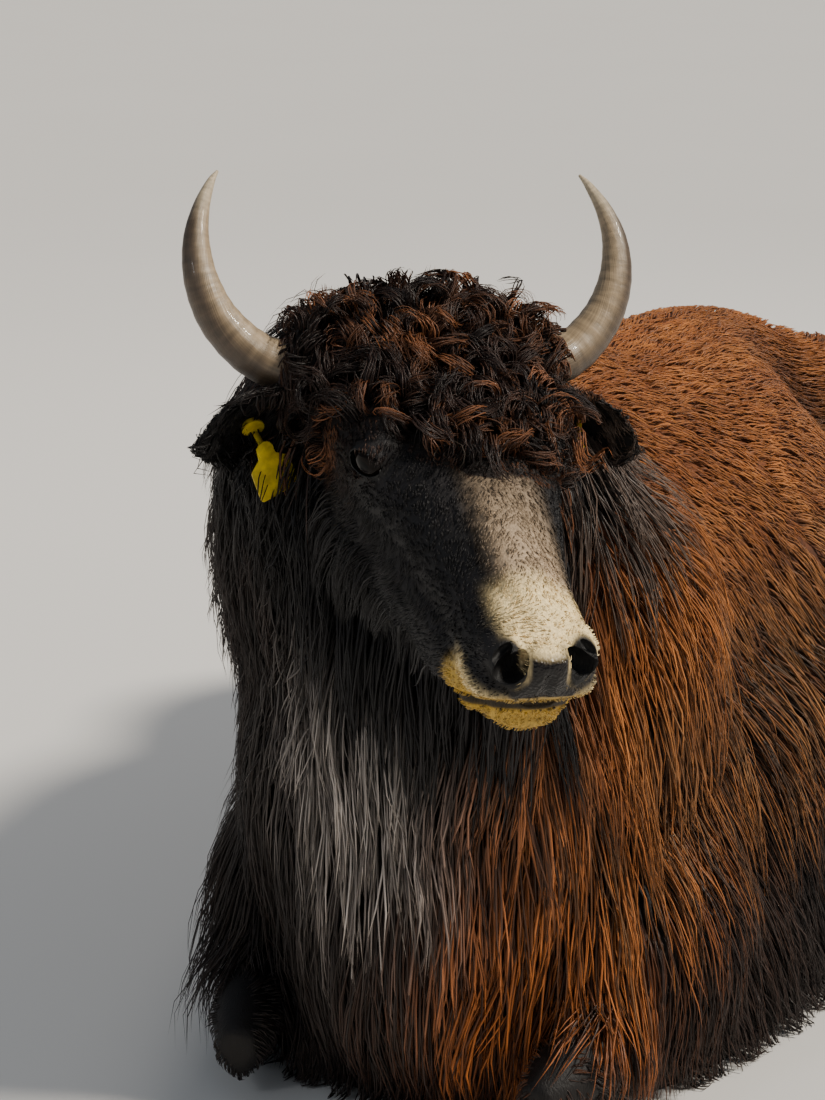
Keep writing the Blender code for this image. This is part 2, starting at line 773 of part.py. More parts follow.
def skirt_locks(own, tree):
    """Rows of locks round the belly, each over the one below, down to the floor."""
    draw = random.Random(11)
    found = []
    for row, (count, height, spread, length, width, stand) in enumerate(SKIRT_ROWS):
        for i in range(count):
            turn = (i + 0.5 * row + draw.uniform(-0.12, 0.12)) * 2 * math.pi / count
            ray = Vector((math.cos(turn) * 0.42, math.sin(turn) * 0.8, 0))
            centre = Vector((0, SKIRT_MIDDLE, height + draw.uniform(-spread, spread)))
            hit, normal, _, _ = own.ray_cast(centre + ray * 3, -ray)
            if hit is None:
                continue
            layer = LAYER * (i % 2)
            way = DOWN + Vector((0, 0.18, 0))
            found.extend(lock(hit, normal, way, varied(draw, length), varied(draw, width),
                              (0.003 + layer, stand + layer), tree, draw.uniform(-0.10, 0.10)))
    return found


def neck_locks(own, tree):
    """Rows of locks round the throat and sides of the neck, which hang over the chest."""
    draw = random.Random(21)
    line = spline(NECK, 8)[:, :3]
    found = []
    for count, share, spread, length, width, stand in NECK_ROWS:
        k = round(share * (len(line) - 1))
        centre = Vector(line[k])
        along = (Vector(line[min(k + 1, len(line) - 1)]) - Vector(line[k - 1])).normalized()
        front = (Vector((0, -1, 0)) + along * along.y).normalized()
        for i in range(count):
            turn = spread * (2 * (i + 0.5) / count - 1) + draw.uniform(-0.06, 0.06)
            ray = Matrix.Rotation(turn, 3, along) @ front
            start = centre + along * draw.uniform(-0.03, 0.03)
            hit, normal, _, _ = own.ray_cast(start + ray, -ray)
            if hit is None:
                continue
            layer = LAYER * (i % 2)
            way = DOWN + Vector((0, 0.25 * abs(math.sin(turn)), 0))
            found.extend(lock(hit, normal, way, varied(draw, length), varied(draw, width),
                              (0.003 + layer, stand + layer), tree, draw.uniform(-0.10, 0.10)))
    return found


def beard_locks(own, tree):
    """Locks under the jaw, which hang free in front of the throat."""
    draw = random.Random(13)
    out = IN_HEAD.to_3x3() @ Vector((0, 1, 0))
    found = []
    for along, spread, length, width in BEARD_ROWS:
        for i in range(3):
            left = spread * (i - 1) + draw.uniform(-0.006, 0.006)
            hit, normal, _, _ = own.ray_cast(on_head(left, -0.5, along), out)
            if hit is None:
                continue
            across = IN_HEAD.to_3x3() @ Vector((0.15 * (i - 1), 0, -0.25))
            found.extend(lock(hit, normal, DOWN + across, varied(draw, length), varied(draw, width),
                              (0.002, 0.012), tree, draw.uniform(-0.10, 0.10), 0.0))
    return found


def forelock_clumps(own):
    """Rounded clumps set close over the forehead, turned every way like curls."""
    draw = random.Random(14)
    inwards = IN_HEAD.to_3x3() @ Vector((0, -1, 0))
    found = []
    for row, (along, spread, count) in enumerate(FORELOCK_ROWS):
        for i in range(count):
            left = spread * (2 * (i + 0.5) / count - 1) + draw.uniform(-0.004, 0.004)
            hit, normal, _, _ = own.ray_cast(on_head(left, 0.3, along + draw.uniform(-0.005, 0.005)), inwards)
            if hit is None:
                continue
            turn = normal.to_track_quat("Y", "Z").to_matrix()
            turn = turn @ Matrix.Rotation(draw.uniform(-0.9, 0.9), 3, "Y") @ Matrix.Rotation(
                draw.uniform(-0.25, 0.25), 3, "X")
            radii = [varied(draw, radius, 0.18) for radius in CLUMP]
            found.append(ball(hit + normal * 0.003, radii, turn, 4, 6))
    return found


def tail_locks(own, tree):
    """Long locks along the tail, which lie over one another to its tip."""
    draw = random.Random(15)
    line = spline(TAIL, 6)
    found = []
    for i in range(TAIL_LOCKS):
        share = 0.22 + 0.62 * i / (TAIL_LOCKS - 1)
        k = round(share * (len(line) - 1))
        centre = Vector(line[k][:3])
        along = (Vector(line[k + 1][:3]) - Vector(line[k - 1][:3])).normalized()
        across = along.cross(Vector((-0.4, 1, 0.3))).normalized()
        ray = Matrix.Rotation(math.pi + 2.2 * math.sin(i * 2.4), 3, along) @ across
        hit, normal, _, _ = own.ray_cast(centre + ray * 0.5, -ray)
        if hit is None:
            continue
        found.extend(lock(hit, normal, along, varied(draw, 0.20), varied(draw, 0.060),
                          (0.003, 0.006 + LAYER * (i % 2)), tree, draw.uniform(-0.10, 0.10), 0.5))
    return found


def in_head(points):
    """Points given in the head's own directions, in the frame of the part."""
    return [tuple(on_head(*point)) for point in points]


def horn(side):
    rows = np.array(HORN_LINE)
    rows[:, 0] *= side
    line = np.column_stack([in_head(rows[:, :3]), rows[:, 3:]])
    return object_of("horn_" + SIDES[side], limb(line, 8, 2, IN_HEAD.col[2][:3]))


def ear_lines(side):
    """Along an ear: its centres, its ways along, across and to the front, half widths and thicknesses."""
    rows = spline(EAR_LINE, 1)
    rows[:, 2] += EAR_FORWARD[side] * (rows[:, 0] - rows[0, 0])
    rows[:, 0] *= side
    centres = np.array(in_head(rows[:, :3]))
    along = unit(np.gradient(centres, axis=0))
    front = np.array((IN_HEAD.to_3x3() @ Vector((side * 0.25, -0.15, 0.95)))[:])
    front = unit(front - along * (along * front).sum(1, keepdims=True))
    return centres, along, np.cross(along, front), front, rows[:, 3], rows[:, 4]


def ear(side):
    """A leaf with a hollow front, which opens forward and a little down."""
    centres, along, across, front, wides, thicks = ear_lines(side)
    rings = []
    for i, (centre, wide, thick) in enumerate(zip(centres, wides, thicks)):
        share = i / (len(centres) - 1)
        cup = EAR_CUP * math.sin(math.pi * min(1.0, 0.15 + share)) * wide
        ring = []
        for turn in np.linspace(-1, 1, 7):
            ring.append((turn, -cup * (1 - turn * turn) - thick * 0.5 * (1 - abs(turn) ** 3)))
        for turn in np.linspace(1, -1, 7)[1:-1]:
            ring.append((turn, -cup * (1 - turn * turn) + thick * 0.5 * (1 - abs(turn) ** 3)))
        rings.append([centre + across[i] * (turn * wide) + front[i] * depth for turn, depth in ring])
    return object_of("ear_" + SIDES[side], loft(rings))


def eye(side):
    centre = on_head(side * EYE_PLACE[0], *EYE_PLACE[1:])
    return object_of("eye_" + SIDES[side], ball(centre, (EYE_RADIUS,) * 3, rings=6))


def slit(side):
    """A cutter for the opening between the lids, which faces outwards and a little forwards."""
    turn = IN_HEAD.to_3x3() @ Matrix.Rotation(-side * EYE_FORWARD, 3, "Y")
    facing = turn @ Vector((side, 0.05, 0))
    place = on_head(side * EYE_PLACE[0], *EYE_PLACE[1:]) + facing * EYE_RADIUS
    turn = turn @ Matrix.Rotation(math.radians(-12), 3, "X")
    return object_of("slit", ball(place, (EYE_RADIUS, EYE_SLIT[1], EYE_SLIT[0]), turn, 8))


def opened(obj, *cutters, operation="DIFFERENCE"):
    """The object less each cutter, or with it, which is then gone."""
    for cutter in cutters:
        combined(obj, cutter, operation)
        bpy.data.objects.remove(cutter)
    return obj


def plate(outline, place, across, down, thickness):
    """A flat piece with the outline given across and down from its place."""
    through = across.cross(down)
    bm = bmesh.new()
    made = []
    for half in (-0.5, 0.5):
        centre = place + through * (half * thickness)
        made.append([bm.verts.new(centre + across * u + down * v) for u, v in outline])
    for i in range(len(outline)):
        j = (i + 1) % len(outline)
        bm.faces.new((made[0][i], made[0][j], made[1][j], made[1][i]))
    bm.faces.new(made[0])
    bm.faces.new(made[1])
    bmesh.ops.recalc_face_normals(bm, faces=bm.faces)
    return bm


def ear_tag(name, side, station, inwards, lower, stand, swing, wide, high):
    """A flag that hangs in the cup of an ear from a stud, with a button on the ear's back."""
    centre, along, _, front, half, thick = (line[station] for line in ear_lines(side))
    through = Vector(front)
    facing = (through - DOWN * DOWN.dot(through)).normalized()
    down = Matrix.Rotation(swing, 3, facing) @ DOWN
    depth = EAR_CUP * half * (1 - (lower / half) ** 2)
    centre = Vector(centre) - Vector(along) * inwards + (DOWN - through * DOWN.dot(through)) * lower
    place = centre + through * stand
    outline = [(u * wide, v * high) for u, v in TAG_OUTLINE]
    flag = object_of(name, plate(outline, place, down.cross(facing), down, TAG_THICKNESS))
    length = depth + stand - STUD_SHORT
    middle = place - through * (0.5 * length)
    stud = disc("stud", middle, through, STUD_RADIUS, length + TAG_THICKNESS, 6)
    opened(flag, stud, operation="UNION")
    back = centre - through * (depth + 0.5 * (thick + BUTTON_HEIGHT) - BUTTON_SINK)
    return flag, disc(name + "_button", back, through, BUTTON_RADIUS, BUTTON_HEIGHT, 10)


def disc(name, middle, axis, radius, height, segments):
    bm = bmesh.new()
    place = Matrix.Translation(middle) @ axis.to_track_quat("Z", "Y").to_matrix().to_4x4()
    bmesh.ops.create_cone(
        bm, cap_ends=True, segments=segments, radius1=radius, radius2=radius, depth=height, matrix=place
    )
    return object_of(name, bm)


def leg(name, side, *limbs):
    """One leg from the rows of its bones on the left side, flat on the floor."""
    forms = [limb([(side * x, *rest) for x, *rest in rows], 12, 3) for rows in limbs]
    obj = fused(name + SIDES[side], forms, LEG_VOXEL, 3)
    thinned(obj, LEG_TRIANGLES)
    return cut(obj, (0, 0, 0), DOWN)


def whole_body():
    """Torso and neck, parted by a thin cut, without their locks."""
    forms = [*torso_forms(), *neck_forms(), *hair_forms(CORE_REACH)]
    torso = dented(fused("torso", forms, BODY_VOXEL, 22), body_dents())
    thinned(torso, BODY_TRIANGLES)
    cut(torso, (0, 0, 0), DOWN)
    neck = copied(torso, "neck")
    normal = NECK_CUT[1].normalized()
    cut(neck, NECK_CUT[0] + normal * (1.6 * GAP), -normal)
    cut(torso, NECK_CUT[0], normal)
    return largest(torso), largest(neck)


def whole_head():
    """Head with its mouth line, nostrils and the slits of its lids."""
    head = fused("head", [*head_forms(), *forelock_form(CORE_REACH)], HEAD_VOXEL, 4)
    for side in SIDES:
        grooved(head, in_head((side * left, *rest) for left, *rest in MOUTH_LINE), *MOUTH_GROOVE)
    thinned(head, HEAD_TRIANGLES)
    for side in SIDES:
        opened(head, slit(side), nostril(side))
    return head


def hoof(side):
    """Two toes side by side at the end of a hind leg, flat on the floor."""
    back, front = (Vector((side * x, y, 0)) for x, y, *_ in HIND_CANNON[-2:])
    ahead = (front - back).normalized()
    across = ahead.cross(Vector((0, 0, 1)))
    toes = []
    for toe in (-1, 1):
        centres, sizes = [], []
        for along, wide, rise, drop, apart in HOOF_STATIONS:
            centres.append(front + ahead * along + across * (toe * apart) + Vector((0, 0, HOOF_HEIGHT)))
            sizes.append((wide, rise, drop, HOOF_NARROWING))
        rings = sections(np.array(centres), across, across, sizes, 8, 2.6)
        toes.append(object_of("hoof_" + SIDES[side], loft(rings)))
    return cut(opened(*toes, operation="UNION"), (0, 0, 0), DOWN)


def whole_legs():
    found = []
    for side in SIDES:
        found.append(leg("foreleg_", side, FOREARM, FORE_CANNON))
        found.append(leg("hindleg_", side, SHANK, HIND_CANNON))
    return found


def finished(obj, collection):
    """The object with its own material and smooth shading, in the collection."""
    material = bpy.data.materials.new(obj.name)
    material.use_nodes = True
    shader = material.node_tree.nodes["Principled BSDF"]
    kind = "tag" if "tag" in obj.name else obj.name.split("_")[0]
    colour, roughness = FINISHES.get(kind, COAT)
    shader.inputs["Base Color"].default_value = (*colour, 1)
    shader.inputs["Roughness"].default_value = roughness
    shader.inputs["Metallic"].default_value = 0
    obj.data.materials.clear()
    obj.data.materials.append(material)
    obj.data.shade_smooth()
    obj.data.set_sharp_from_angle(angle=SHARP_ANGLE)
    collection.objects.link(obj)
    bpy.context.scene.collection.objects.unlink(obj)


def main():
    for obj in list(bpy.data.objects):
        bpy.data.objects.remove(obj)
    hooves = [hoof(side) for side in SIDES]
    torso, neck = whole_body()
    head = whole_head()
    legs = [cleared(part, *hooves) for part in whole_legs()] + hooves
    body = surface_of(torso, neck, *legs)
    face = surface_of(head)
    united(torso, skirt_locks(surface_of(torso), body))
    cleared(torso, *legs)
    united(head, forelock_clumps(face) + beard_locks(face, surface_of(head, neck, torso)))
    cleared(head, *(eye(side) for side in SIDES), neck)
    united(neck, less(neck_locks(surface_of(neck), body), head))
    cleared(neck, torso)
    for side in SIDES:
        horns = cleared(horn(side), head, neck)
        shell = cleared(ear(side), head, neck, horns)
        for piece in ear_tag("ear_tag_" + SIDES[side], side, *TAGS[side]):
            cleared(piece, shell, neck, head)
    tail = object_of("tail", limb(TAIL, 8, 1))
    cut(tail, (0, 0, 0), DOWN)
    united(tail, tail_locks(surface_of(tail), surface_of(tail, torso)))
    cleared(tail, torso, *legs)
    collection = bpy.data.collections.new("yak")
    bpy.context.scene.collection.children.link(collection)
    for obj in list(bpy.data.objects):
        finished(obj, collection)


if __name__ == "__main__":
    main()
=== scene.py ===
import json
import math

import bmesh
import bpy
import numpy as np
from mathutils import Matrix, Vector
from mathutils.bvhtree import BVHTree
from mathutils.kdtree import KDTree

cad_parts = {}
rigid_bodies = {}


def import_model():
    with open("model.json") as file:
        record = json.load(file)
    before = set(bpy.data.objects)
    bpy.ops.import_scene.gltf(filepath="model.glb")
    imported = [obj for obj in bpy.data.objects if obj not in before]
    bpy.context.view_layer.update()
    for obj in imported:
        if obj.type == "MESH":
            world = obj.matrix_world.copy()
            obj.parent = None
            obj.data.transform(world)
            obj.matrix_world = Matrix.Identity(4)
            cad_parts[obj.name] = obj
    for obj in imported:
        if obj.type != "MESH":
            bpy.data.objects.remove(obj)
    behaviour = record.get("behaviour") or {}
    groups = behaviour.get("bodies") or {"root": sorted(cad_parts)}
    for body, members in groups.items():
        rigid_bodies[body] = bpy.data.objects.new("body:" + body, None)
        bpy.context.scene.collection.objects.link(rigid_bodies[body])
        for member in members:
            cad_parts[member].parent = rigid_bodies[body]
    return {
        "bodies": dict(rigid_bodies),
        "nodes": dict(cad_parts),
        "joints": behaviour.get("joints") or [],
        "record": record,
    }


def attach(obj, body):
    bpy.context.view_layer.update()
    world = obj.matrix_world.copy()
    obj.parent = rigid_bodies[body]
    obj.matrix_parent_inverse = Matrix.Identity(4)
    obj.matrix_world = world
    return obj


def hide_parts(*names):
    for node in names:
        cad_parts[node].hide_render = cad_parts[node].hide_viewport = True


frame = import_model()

# The part's own measures

POLL = Vector((0.02, -0.56, 0.865))
HEAD_YAW = math.radians(38.5)
HEAD_PITCH = math.radians(27)
HEAD_ROLL = math.radians(-4)
TORSO = [
    (0.850, 0.34, 0.050, 0.07, 0.10, 0.00),
    (0.815, 0.34, 0.140, 0.17, 0.20, 0.05),
    (0.720, 0.33, 0.220, 0.265, 0.30, 0.14),
    (0.560, 0.32, 0.275, 0.345, 0.34, 0.20),
    (0.360, 0.32, 0.330, 0.375, 0.34, 0.18),
    (0.130, 0.32, 0.350, 0.390, 0.34, 0.18),
    (-0.080, 0.33, 0.320, 0.400, 0.35, 0.22),
    (-0.240, 0.35, 0.275, 0.405, 0.36, 0.28),
    (-0.380, 0.34, 0.235, 0.340, 0.33, 0.20),
    (-0.510, 0.32, 0.190, 0.230, 0.26, 0.05),
    (-0.580, 0.31, 0.080, 0.090, 0.12, 0.00),
]
NECK = [
    (0.000, -0.180, 0.38, 0.210, 0.22, 0.24),
    (-0.008, -0.320, 0.51, 0.225, 0.21, 0.24),
    (-0.028, -0.430, 0.64, 0.204, 0.165, 0.195),
    (-0.060, -0.500, 0.75, 0.150, 0.125, 0.150),
    (-0.055, -0.530, 0.83, 0.095, 0.070, 0.100),
]
HEAD = [
    (-0.065, -0.095, 0.060, 0.055, 0.060, 0.00),
    (-0.040, -0.095, 0.098, 0.080, 0.095, 0.05),
    (0.015, -0.095, 0.110, 0.090, 0.115, 0.16),
    (0.085, -0.092, 0.110, 0.090, 0.128, 0.26),
    (0.155, -0.088, 0.100, 0.084, 0.120, 0.30),
    (0.225, -0.082, 0.082, 0.074, 0.100, 0.24),
    (0.295, -0.078, 0.068, 0.064, 0.082, 0.12),
    (0.345, -0.074, 0.062, 0.061, 0.068, 0.02),
    (0.390, -0.070, 0.062, 0.057, 0.058, -0.04),
    (0.428, -0.066, 0.055, 0.046, 0.044, -0.04),
    (0.450, -0.064, 0.030, 0.024, 0.022, 0.00),
]
HORN_LINE = [
    (0.060, -0.034, 0.004, 0.025, 0.026),
    (0.110, -0.050, 0.010, 0.026, 0.027),
    (0.160, -0.048, -0.004, 0.024, 0.024),
    (0.198, -0.026, -0.030, 0.021, 0.021),
    (0.217, 0.002, -0.058, 0.0175, 0.0175),
    (0.221, 0.028, -0.088, 0.0135, 0.0135),
    (0.214, 0.048, -0.116, 0.0090, 0.0090),
    (0.201, 0.062, -0.142, 0.0045, 0.0045),
    (0.192, 0.068, -0.154, 0.0014, 0.0014),
]
HAIR_LENGTH = 0.055
SKIRT_MIDDLE = 0.130
SKIRT = [
    (-0.020, 0.355, 0.690),
    (0.100, 0.345, 0.680),
    (0.220, 0.325, 0.640),
    (0.340, 0.270, 0.560),
]
EYE_PLACE = (0.085, -0.034, 0.158)
EYE_RADIUS = 0.021
LID_RADIUS = 0.026
EYE_SLIT = (0.0185, 0.0130)
EYE_FORWARD = math.radians(32)
MOUTH_LINE = [
    (0.000, -0.078, 0.452),
    (0.030, -0.082, 0.444),
    (0.052, -0.102, 0.416),
    (0.061, -0.122, 0.385),
    (0.061, -0.134, 0.357),
]
MOUTH_GROOVE = (0.0055, 0.0070)
NOSTRIL = (0.035, -0.038, 0.441)
EAR_LINE = [
    (0.085, -0.088, 0.024, 0.020, 0.012),
    (0.112, -0.092, 0.028, 0.030, 0.011),
    (0.142, -0.098, 0.035, 0.042, 0.010),
    (0.168, -0.102, 0.041, 0.046, 0.009),
    (0.194, -0.107, 0.045, 0.040, 0.008),
    (0.218, -0.112, 0.049, 0.024, 0.007),
    (0.232, -0.115, 0.050, 0.007, 0.005),
]
EAR_FORWARD = {1: 0.16, -1: 0.0}
TAIL = [
    (0.000, 0.780, 0.545, 0.030, 0.026),
    (0.000, 0.855, 0.510, 0.030, 0.026),
    (0.008, 0.893, 0.410, 0.030, 0.026),
    (0.025, 0.905, 0.290, 0.034, 0.028),
    (0.060, 0.912, 0.170, 0.038, 0.032),
    (0.120, 0.905, 0.085, 0.042, 0.036),
    (0.200, 0.870, 0.048, 0.044, 0.036),
    (0.275, 0.815, 0.040, 0.036, 0.030),
    (0.330, 0.765, 0.034, 0.016, 0.018),
    (0.350, 0.745, 0.030, 0.005, 0.007),
]
FOREARM = [
    (0.205, -0.250, 0.190, 0.055, 0.075),
    (0.215, -0.380, 0.140, 0.048, 0.058),
    (0.200, -0.500, 0.100, 0.042, 0.046),
    (0.180, -0.590, 0.078, 0.040, 0.044),
    (0.168, -0.635, 0.070, 0.024, 0.030),
]
FORE_CANNON = [
    (0.172, -0.620, 0.064, 0.026, 0.034),
    (0.195, -0.540, 0.048, 0.028, 0.034),
    (0.232, -0.420, 0.038, 0.024, 0.028),
    (0.262, -0.320, 0.038, 0.026, 0.030),
    (0.275, -0.270, 0.036, 0.024, 0.026),
    (0.281, -0.245, 0.034, 0.020, 0.024),
]
HIND_CANNON = [
    (0.230, 0.740, 0.120, 0.040, 0.060),
    (0.275, 0.735, 0.070, 0.034, 0.048),
    (0.320, 0.660, 0.050, 0.030, 0.038),
    (0.370, 0.540, 0.042, 0.026, 0.030),
    (0.405, 0.450, 0.042, 0.029, 0.032),
    (0.420, 0.405, 0.036, 0.025, 0.027),
    (0.427, 0.380, 0.034, 0.021, 0.024),
]
SHANK = [
    (0.300, 0.300, 0.210, 0.060, 0.090),
    (0.300, 0.460, 0.170, 0.055, 0.080),
    (0.280, 0.620, 0.120, 0.042, 0.060),
    (0.265, 0.730, 0.090, 0.034, 0.050),
]
HOOF_STATIONS = [
    (-0.012, 0.017, 0.026, 0.022, 0.013),
    (0.010, 0.019, 0.027, 0.025, 0.014),
    (0.036, 0.020, 0.020, 0.027, 0.016),
    (0.060, 0.017, 0.008, 0.027, 0.017),
    (0.076, 0.009, -0.006, 0.026, 0.015),
]
HOOF_HEIGHT = 0.030
TAG_THICKNESS = 0.002
STUD_SHORT = 0.005
TAG_OUTLINE = [
    (-0.18, -0.10),
    (0.18, -0.10),
    (0.22, 0.16),
    (0.50, 0.34),
    (0.50, 1.00),
    (-0.50, 1.00),
    (-0.50, 0.34),
    (-0.22, 0.16),
]
STUD_RADIUS = 0.003
BUTTON_RADIUS = 0.012
BUTTON_HEIGHT = 0.006
BUTTON_SINK = 0.0015
EAR_CUP = 0.62
SIDES = {1: "left", -1: "right"}
TAGS = {
    1: (3, 0.000, 0.000, 0.005, math.radians(-20), 0.020, 0.022),
    -1: (3, 0.012, 0.028, 0.007, math.radians(20), 0.044, 0.050),
}

NOSTRIL_SIZE = (0.0135, 0.0170, 0.029)
COAT_DEPTH = 0.011
EAR_SPREAD = 1.22
SKIN_REACH = 0.10
FLOOR_CLEARANCE = 0.003
BAKE_PATCH = 0.003
QUICK_SHARE = 0.12
ROOT_DEPTH = 0.003
LOWEST_ROOT = 0.012
ON_SKIN = 0.003
SOLE_CLEARANCE = 0.0008
TUFT_DEPTH = 0.30
TUFT_TAPER = 0.55
UNWRAP_FACES = 14000
HEAD_VOXEL = (0.0028, 0.0052)
BODY_VOXEL = (0.010, 0.016)
BODY_ROUNDS = (34, 16)
HEAD_COAT_DEPTH = 0.0025
HAIRY_SIDE = ((-0.20, -0.46, 0.58), (0.10, 0.20, 0.19))
HAIRY_SIDE_DEPTH = 0.026
FOLD_SIZE = (0.0045, 0.0022)
SLIT_TILT = Matrix.Rotation(math.radians(-12), 3, "X")
EYE_FULLNESS = 1.06
CORNEA_HEIGHT = 0.0010
TAIL_CORE = 0.62
LEG_COAT_DEPTH = 0.004
LEG_VOXEL = 0.007
NOISE_SPAN = (0.3, 0.7)
MUZZLE_FOLDS = [
    [(0.000, -0.040, 0.454), (0.000, -0.060, 0.456), (0.000, -0.076, 0.452)],
    [(0.058, -0.045, 0.412), (0.062, -0.068, 0.392), (0.064, -0.090, 0.365)],
]
DOWN = Vector((0, 0, -1))

# Camera
CAMERA_TURN = math.radians(22)
CAMERA_RISE = math.radians(17)
CAMERA_DISTANCE = 2.75
PIXELS_PER_METRE = 1015
PICTURE_HEIGHT = 1100
POLL_IN_PICTURE = (15.5, -228)


def colour(red, green, blue):
    """A colour given as a screen shows it, in the light it stands for."""
    value = np.array([red, green, blue]) / 255
    return np.where(value <= 0.04045, value / 12.92, ((value + 0.055) / 1.055) ** 2.4)


# Colours
SHOULDER = (colour(86, 45, 20), colour(112, 62, 28))
SHOULDER_TIP = (colour(146, 82, 32), colour(196, 124, 60))
DARK = colour(13, 9, 8)
DARK_TIP = (colour(27, 20, 18), colour(52, 38, 32))
RUST_TIP = colour(200, 114, 50)
# pale grey tips for a painted sheen of sunlight on black hair
PAINTED_SHEEN_TIP = colour(214, 202, 192)
# pale gold tips for a painted sheen over the left flank
GOLD_SHEEN_TIP = colour(196, 140, 84)
FACE = (colour(11, 10, 11), colour(24, 21, 22))
BRIDGE = colour(166, 144, 118)
# the pale bridge moved towards the sunlit left side: painted highlight in part
SHIFT_TO_LIT_SIDE = 0.014
MUZZLE = colour(240, 214, 158)
LIP = colour(176, 138, 40)
CURL = (colour(18, 12, 10), colour(50, 33, 26), colour(142, 88, 52))
EAR = (colour(13, 11, 12), colour(24, 20, 20), colour(104, 86, 74))
NOSE = colour(16, 13, 13)
# horn tints: main, painted shade on the outer sides, pale tips, dark roots
HORN_TINT = (colour(146, 126, 98), colour(60, 47, 36), colour(186, 170, 142), colour(50, 41, 32))
EYE_TINT = (colour(9, 6, 6), colour(16, 10, 8), colour(2, 2, 3))
HOOF_TINT = (colour(46, 42, 40), colour(30, 27, 26))
TAG_TINT = colour(214, 186, 24)
FLOOR_TINT = (0.66, 0.64, 0.61)
SKY_TINT = (0.80, 0.88, 1.0)
SKY_POWER = 0.27
KEY_POWER = 5.0
KEY_FROM = (0.98, 0.15, 0.90)
KEY_TINT = (1.0, 0.93, 0.82)
KEY_SPREAD = math.radians(9)
# Lamps: name, place, what they point at, size, power, tint, whether they show in wet surfaces
LAMPS = [
    ("fill", (-1.6, -3.6, 1.8), (0, -0.4, 0.5), 2.8, 9, (0.82, 0.90, 1.0), False),
    ("rim", (-0.6, 2.6, 2.9), (0, 0, 0.7), 2.0, 40, (1.0, 0.97, 0.93), False),
    ("glint", (-1.1, -3.2, 2.3), (0, -0.7, 0.8), 0.4, 9, (0.90, 0.95, 1.0), True),
]
FLOOR_HALF = 14
SKIN_ROUGHNESS = (0.62, 0.26)


def head_frame():
    """Columns: the animal's left, out of the forehead, along the face to the muzzle. Origin at the poll."""
    level = Vector((math.sin(HEAD_YAW), -math.cos(HEAD_YAW), 0))
    along = level * math.cos(HEAD_PITCH) - Vector((0, 0, 1)) * math.sin(HEAD_PITCH)
    left = Vector((0, 0, 1)).cross(level)
    turn = Matrix.Rotation(HEAD_ROLL, 3, along)
    left = turn @ left
    out = along.cross(left)
    frame = Matrix((left, out, along)).transposed().to_4x4()
    frame.translation = POLL
    return frame


IN_HEAD = head_frame()
HEAD_TURN = IN_HEAD.to_3x3()
HEAD_AXES = np.array(HEAD_TURN)


def on_head(left, out, along):
    """A point given in the head's own directions, in the frame of the part."""
    return IN_HEAD @ Vector((left, out, along))


def spline(rows, per_span):
    """The rows carried smoothly, with per_span steps from each row to the next."""
    rows = np.array(rows, float)
    ends = np.vstack([2 * rows[0] - rows[1], rows, 2 * rows[-1] - rows[-2]])
    found = []
    for a, b, c, d in zip(ends, ends[1:], ends[2:], ends[3:]):
        for t in np.arange(per_span) / per_span:
            square = 2 * a - 5 * b + 4 * c - d
            cube = 3 * b - a - 3 * c + d
            found.append(0.5 * (2 * b + (c - a) * t + square * t**2 + cube * t**3))
    return np.array([*found, rows[-1]])


def unit(vectors):
    return vectors / np.linalg.norm(vectors, axis=-1, keepdims=True)


def object_of(name, bm):
    """A new object that holds the bmesh, facing outwards."""
    bmesh.ops.recalc_face_normals(bm, faces=bm.faces)
    mesh = bpy.data.meshes.new(name)
    bm.to_mesh(mesh)
    bm.free()
    obj = bpy.data.objects.new(name, mesh)
    bpy.context.scene.collection.objects.link(obj)
    return obj


def loft(rings):
    """A closed bmesh through rings of points, rounded off with a point at each end."""
    bm = bmesh.new()
    made = [[bm.verts.new(point) for point in ring] for ring in rings]
    for one, two in zip(made, made[1:]):
        for i in range(len(one)):
            j = (i + 1) % len(one)
            bm.faces.new((one[i], one[j], two[j], two[i]))
    for ring in (made[0], made[-1]):
        middle = bm.verts.new(sum((v.co for v in ring), Vector()) / len(ring))
        for i in range(len(ring)):
            bm.faces.new((ring[i], ring[(i + 1) % len(ring)], middle))
    bmesh.ops.recalc_face_normals(bm, faces=bm.faces)
    return bm


def sections(centres, across_from, across_to, sizes, sides, power=2.0):
    """Rings of points round a line of centres. Sizes: half width, rise, drop, narrowing of the top."""
    along = unit(np.gradient(centres, axis=0))
    share = np.linspace(0, 1, len(centres))[:, None]
    across = np.array(across_from) * (1 - share) + np.array(across_to) * share
    across = unit(across - along * (across * along).sum(1, keepdims=True))
    up = np.cross(along, across)
    angles = np.arange(sides) * 2 * math.pi / sides
    cos, sin = np.cos(angles), np.sin(angles)
    flat_cos = np.sign(cos) * abs(cos) ** (2 / power)
    flat_sin = np.sign(sin) * abs(sin) ** (2 / power)
    rings = []
    for centre, side, rise, (wide, high, low, narrow) in zip(centres, across, up, sizes):
        x = wide * flat_cos * (1 - narrow * flat_sin)
        z = np.where(flat_sin > 0, high, low) * flat_sin
        rings.append(centre + x[:, None] * side + z[:, None] * rise)
    return rings


def ball(centre, radii, turn=None, rings=12):
    """A closed ellipsoid, its radii along the columns of turn."""
    bm = bmesh.new()
    size = Matrix.Diagonal((*radii, 1))
    place = Matrix.Translation(centre) @ (turn.to_4x4() if turn else Matrix.Identity(4)) @ size
    bmesh.ops.create_uvsphere(bm, u_segments=2 * rings, v_segments=rings, radius=1, matrix=place)
    return bm


def limb(rows, sides=12, per_span=4, across=(1, 0, 0)):
    """A closed tube through rows of x, y, z, half width and half depth."""
    line = spline(rows, per_span)
    sizes = np.column_stack([line[:, 3], line[:, 4], line[:, 4], 0 * line[:, 3]])
    return loft(sections(line[:, :3], across, across, sizes, sides))


def mirrored(bm):
    twin = bm.copy()
    bmesh.ops.scale(twin, vec=(-1, 1, 1), verts=twin.verts)
    bmesh.ops.reverse_faces(twin, faces=twin.faces)
    return twin


